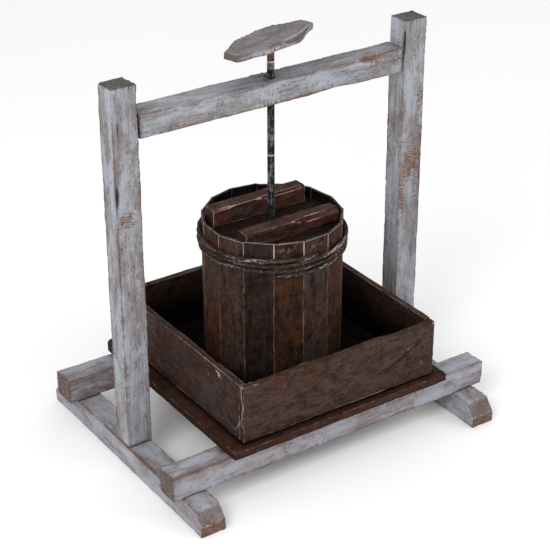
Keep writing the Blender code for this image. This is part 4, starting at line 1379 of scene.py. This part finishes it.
def make_stage(floor_material):
    """The floor, the lights and the camera."""
    bm = bmesh.new()
    bmesh.ops.create_grid(bm, x_segments=8, y_segments=8, size=FLOOR_HALF_SIZE)
    mesh = mesh_from("floor", bm)
    mesh.materials.append(floor_material)
    floor = add_object("floor", mesh)

    world = bpy.data.worlds.new("studio")
    bpy.context.scene.world = world
    world.use_nodes = True
    world.node_tree.nodes["Background"].inputs["Color"].default_value = (1.0, 1.0, 1.0, 1.0)
    world.node_tree.nodes["Background"].inputs["Strength"].default_value = 0.88

    lights = {
        "key": {"at": (-2.05, -1.30, 2.2), "size": 1.5, "watts": 42.0},
        "fill": {"at": (1.7, -1.9, 1.5), "size": 1.6, "watts": 13.0},
    }
    for name, light in lights.items():
        data = bpy.data.lights.new(name, "AREA")
        data.shape = "DISK"
        data.size = light["size"]
        data.energy = light["watts"]
        lamp = add_object(name, data)
        lamp.location = light["at"]
        toward = Vector((0.0, 0.0, 0.25)) - Vector(light["at"])
        lamp.rotation_euler = toward.to_track_quat("-Z", "Y").to_euler()

    level = math.cos(VIEW_ELEVATION)
    back = Vector((
        math.sin(VIEW_AZIMUTH) * level, -math.cos(VIEW_AZIMUTH) * level, math.sin(VIEW_ELEVATION)
    ))
    data = bpy.data.cameras.new("camera")
    data.lens = LENS
    data.sensor_width = 36.0
    data.clip_end = 30.0
    camera = add_object("camera", data)
    turn = back.to_track_quat("Z", "Y").to_matrix() @ Matrix.Rotation(VIEW_ROLL, 3, "Z")
    camera.rotation_euler = turn.to_euler()
    camera.location = VIEW_TARGET + back * VIEW_DISTANCE
    bpy.context.scene.camera = camera
    bpy.context.scene.view_settings.view_transform = "Standard"


def main():
    """Dress the whole press."""
    thin_paint = (0.206, 0.184, 0.184)
    rosy_paint = (0.216, 0.176, 0.174)
    grey_end = ((0.018, 0.016, 0.015), (0.128, 0.115, 0.111))
    brown_end = ((0.040, 0.023, 0.017), (0.185, 0.128, 0.102))
    handle_end = ((0.050, 0.032, 0.028), (0.200, 0.150, 0.135))
    cream = (0.455, 0.415, 0.405)
    lavender = (0.345, 0.315, 0.335)
    orange_wood = (0.245, 0.142, 0.092)
    red_wood = (0.150, 0.090, 0.072)
    post_paint = make_whitewash(
        "worn_whitewash_posts", (0.330, 0.354, 0.396), thin_paint, grey_end, cream, orange_wood
    )
    low_paint = make_whitewash(
        "worn_whitewash_base", (0.328, 0.338, 0.386), rosy_paint, brown_end, cream, orange_wood
    )
    handle_paint = make_whitewash(
        "worn_handle_paint", (0.188, 0.172, 0.186), (0.130, 0.104, 0.102), handle_end, lavender,
        red_wood, 0.45,
    )
    pale_rub = (0.360, 0.270, 0.250)
    rosy_rub = (0.330, 0.215, 0.180)
    stains = {   # the dark, the warm and the grey colour in thousandths, and the dustiness
        "tray": ((13, 5, 4), (70, 34, 21), (66, 41, 33), 0.02),
        "tray_left": ((16, 7, 5), (57, 25, 16), (55, 40, 38), 0.0),
        "lip": ((12, 4, 2), (66, 24, 12), (48, 25, 20), 0.0),
        "stave_brown": ((5, 2, 1), (54, 21, 9), (40, 23, 17), -0.03),
        "stave_grey": ((7, 3, 2), (50, 21, 12), (54, 37, 34), 0.01),
        "stave_red": ((8, 2, 1), (70, 26, 11), (54, 29, 21), 0.0),
        "stave_dusty": ((8, 3, 2), (58, 24, 13), (62, 38, 33), 0.02),
        "stave_dark": ((4, 2, 1), (29, 13, 9), (29, 20, 19), 0.0),
        "press_wood": ((12, 4, 3), (74, 27, 18), (66, 38, 33), 0.0),
    }
    woods = {}
    for name, (*colours, dust_and_shade_amount) in stains.items():
        colours = [tuple(level / 1000 for level in colour) for colour in colours]
        rub = rosy_rub if name == "press_wood" else pale_rub
        woods[name] = make_stain("stained_" + name, *colours, rub, dust_and_shade_amount)
    make_feet_posts_and_beams(post_paint, low_paint)
    make_crossbar(post_paint)
    make_tray(woods["tray"], woods["tray_left"], woods["lip"])
    make_barrel([wood for name, wood in woods.items() if name.startswith("stave_")])
    make_press_head(woods["press_wood"])
    make_rope(make_rope_material())
    make_rod(make_rod_material())
    make_handle(handle_paint)
    black_steel = make_fastener_material(
        "blackened_steel", (0.020, 0.019, 0.019), (0.030, 0.015, 0.010)
    )
    dull_steel = make_fastener_material(
        "dull_fastener_steel", (0.260, 0.260, 0.270), (0.120, 0.055, 0.030)
    )
    dress_fasteners(dull_steel, black_steel)
    make_stage(make_floor_material())


main()
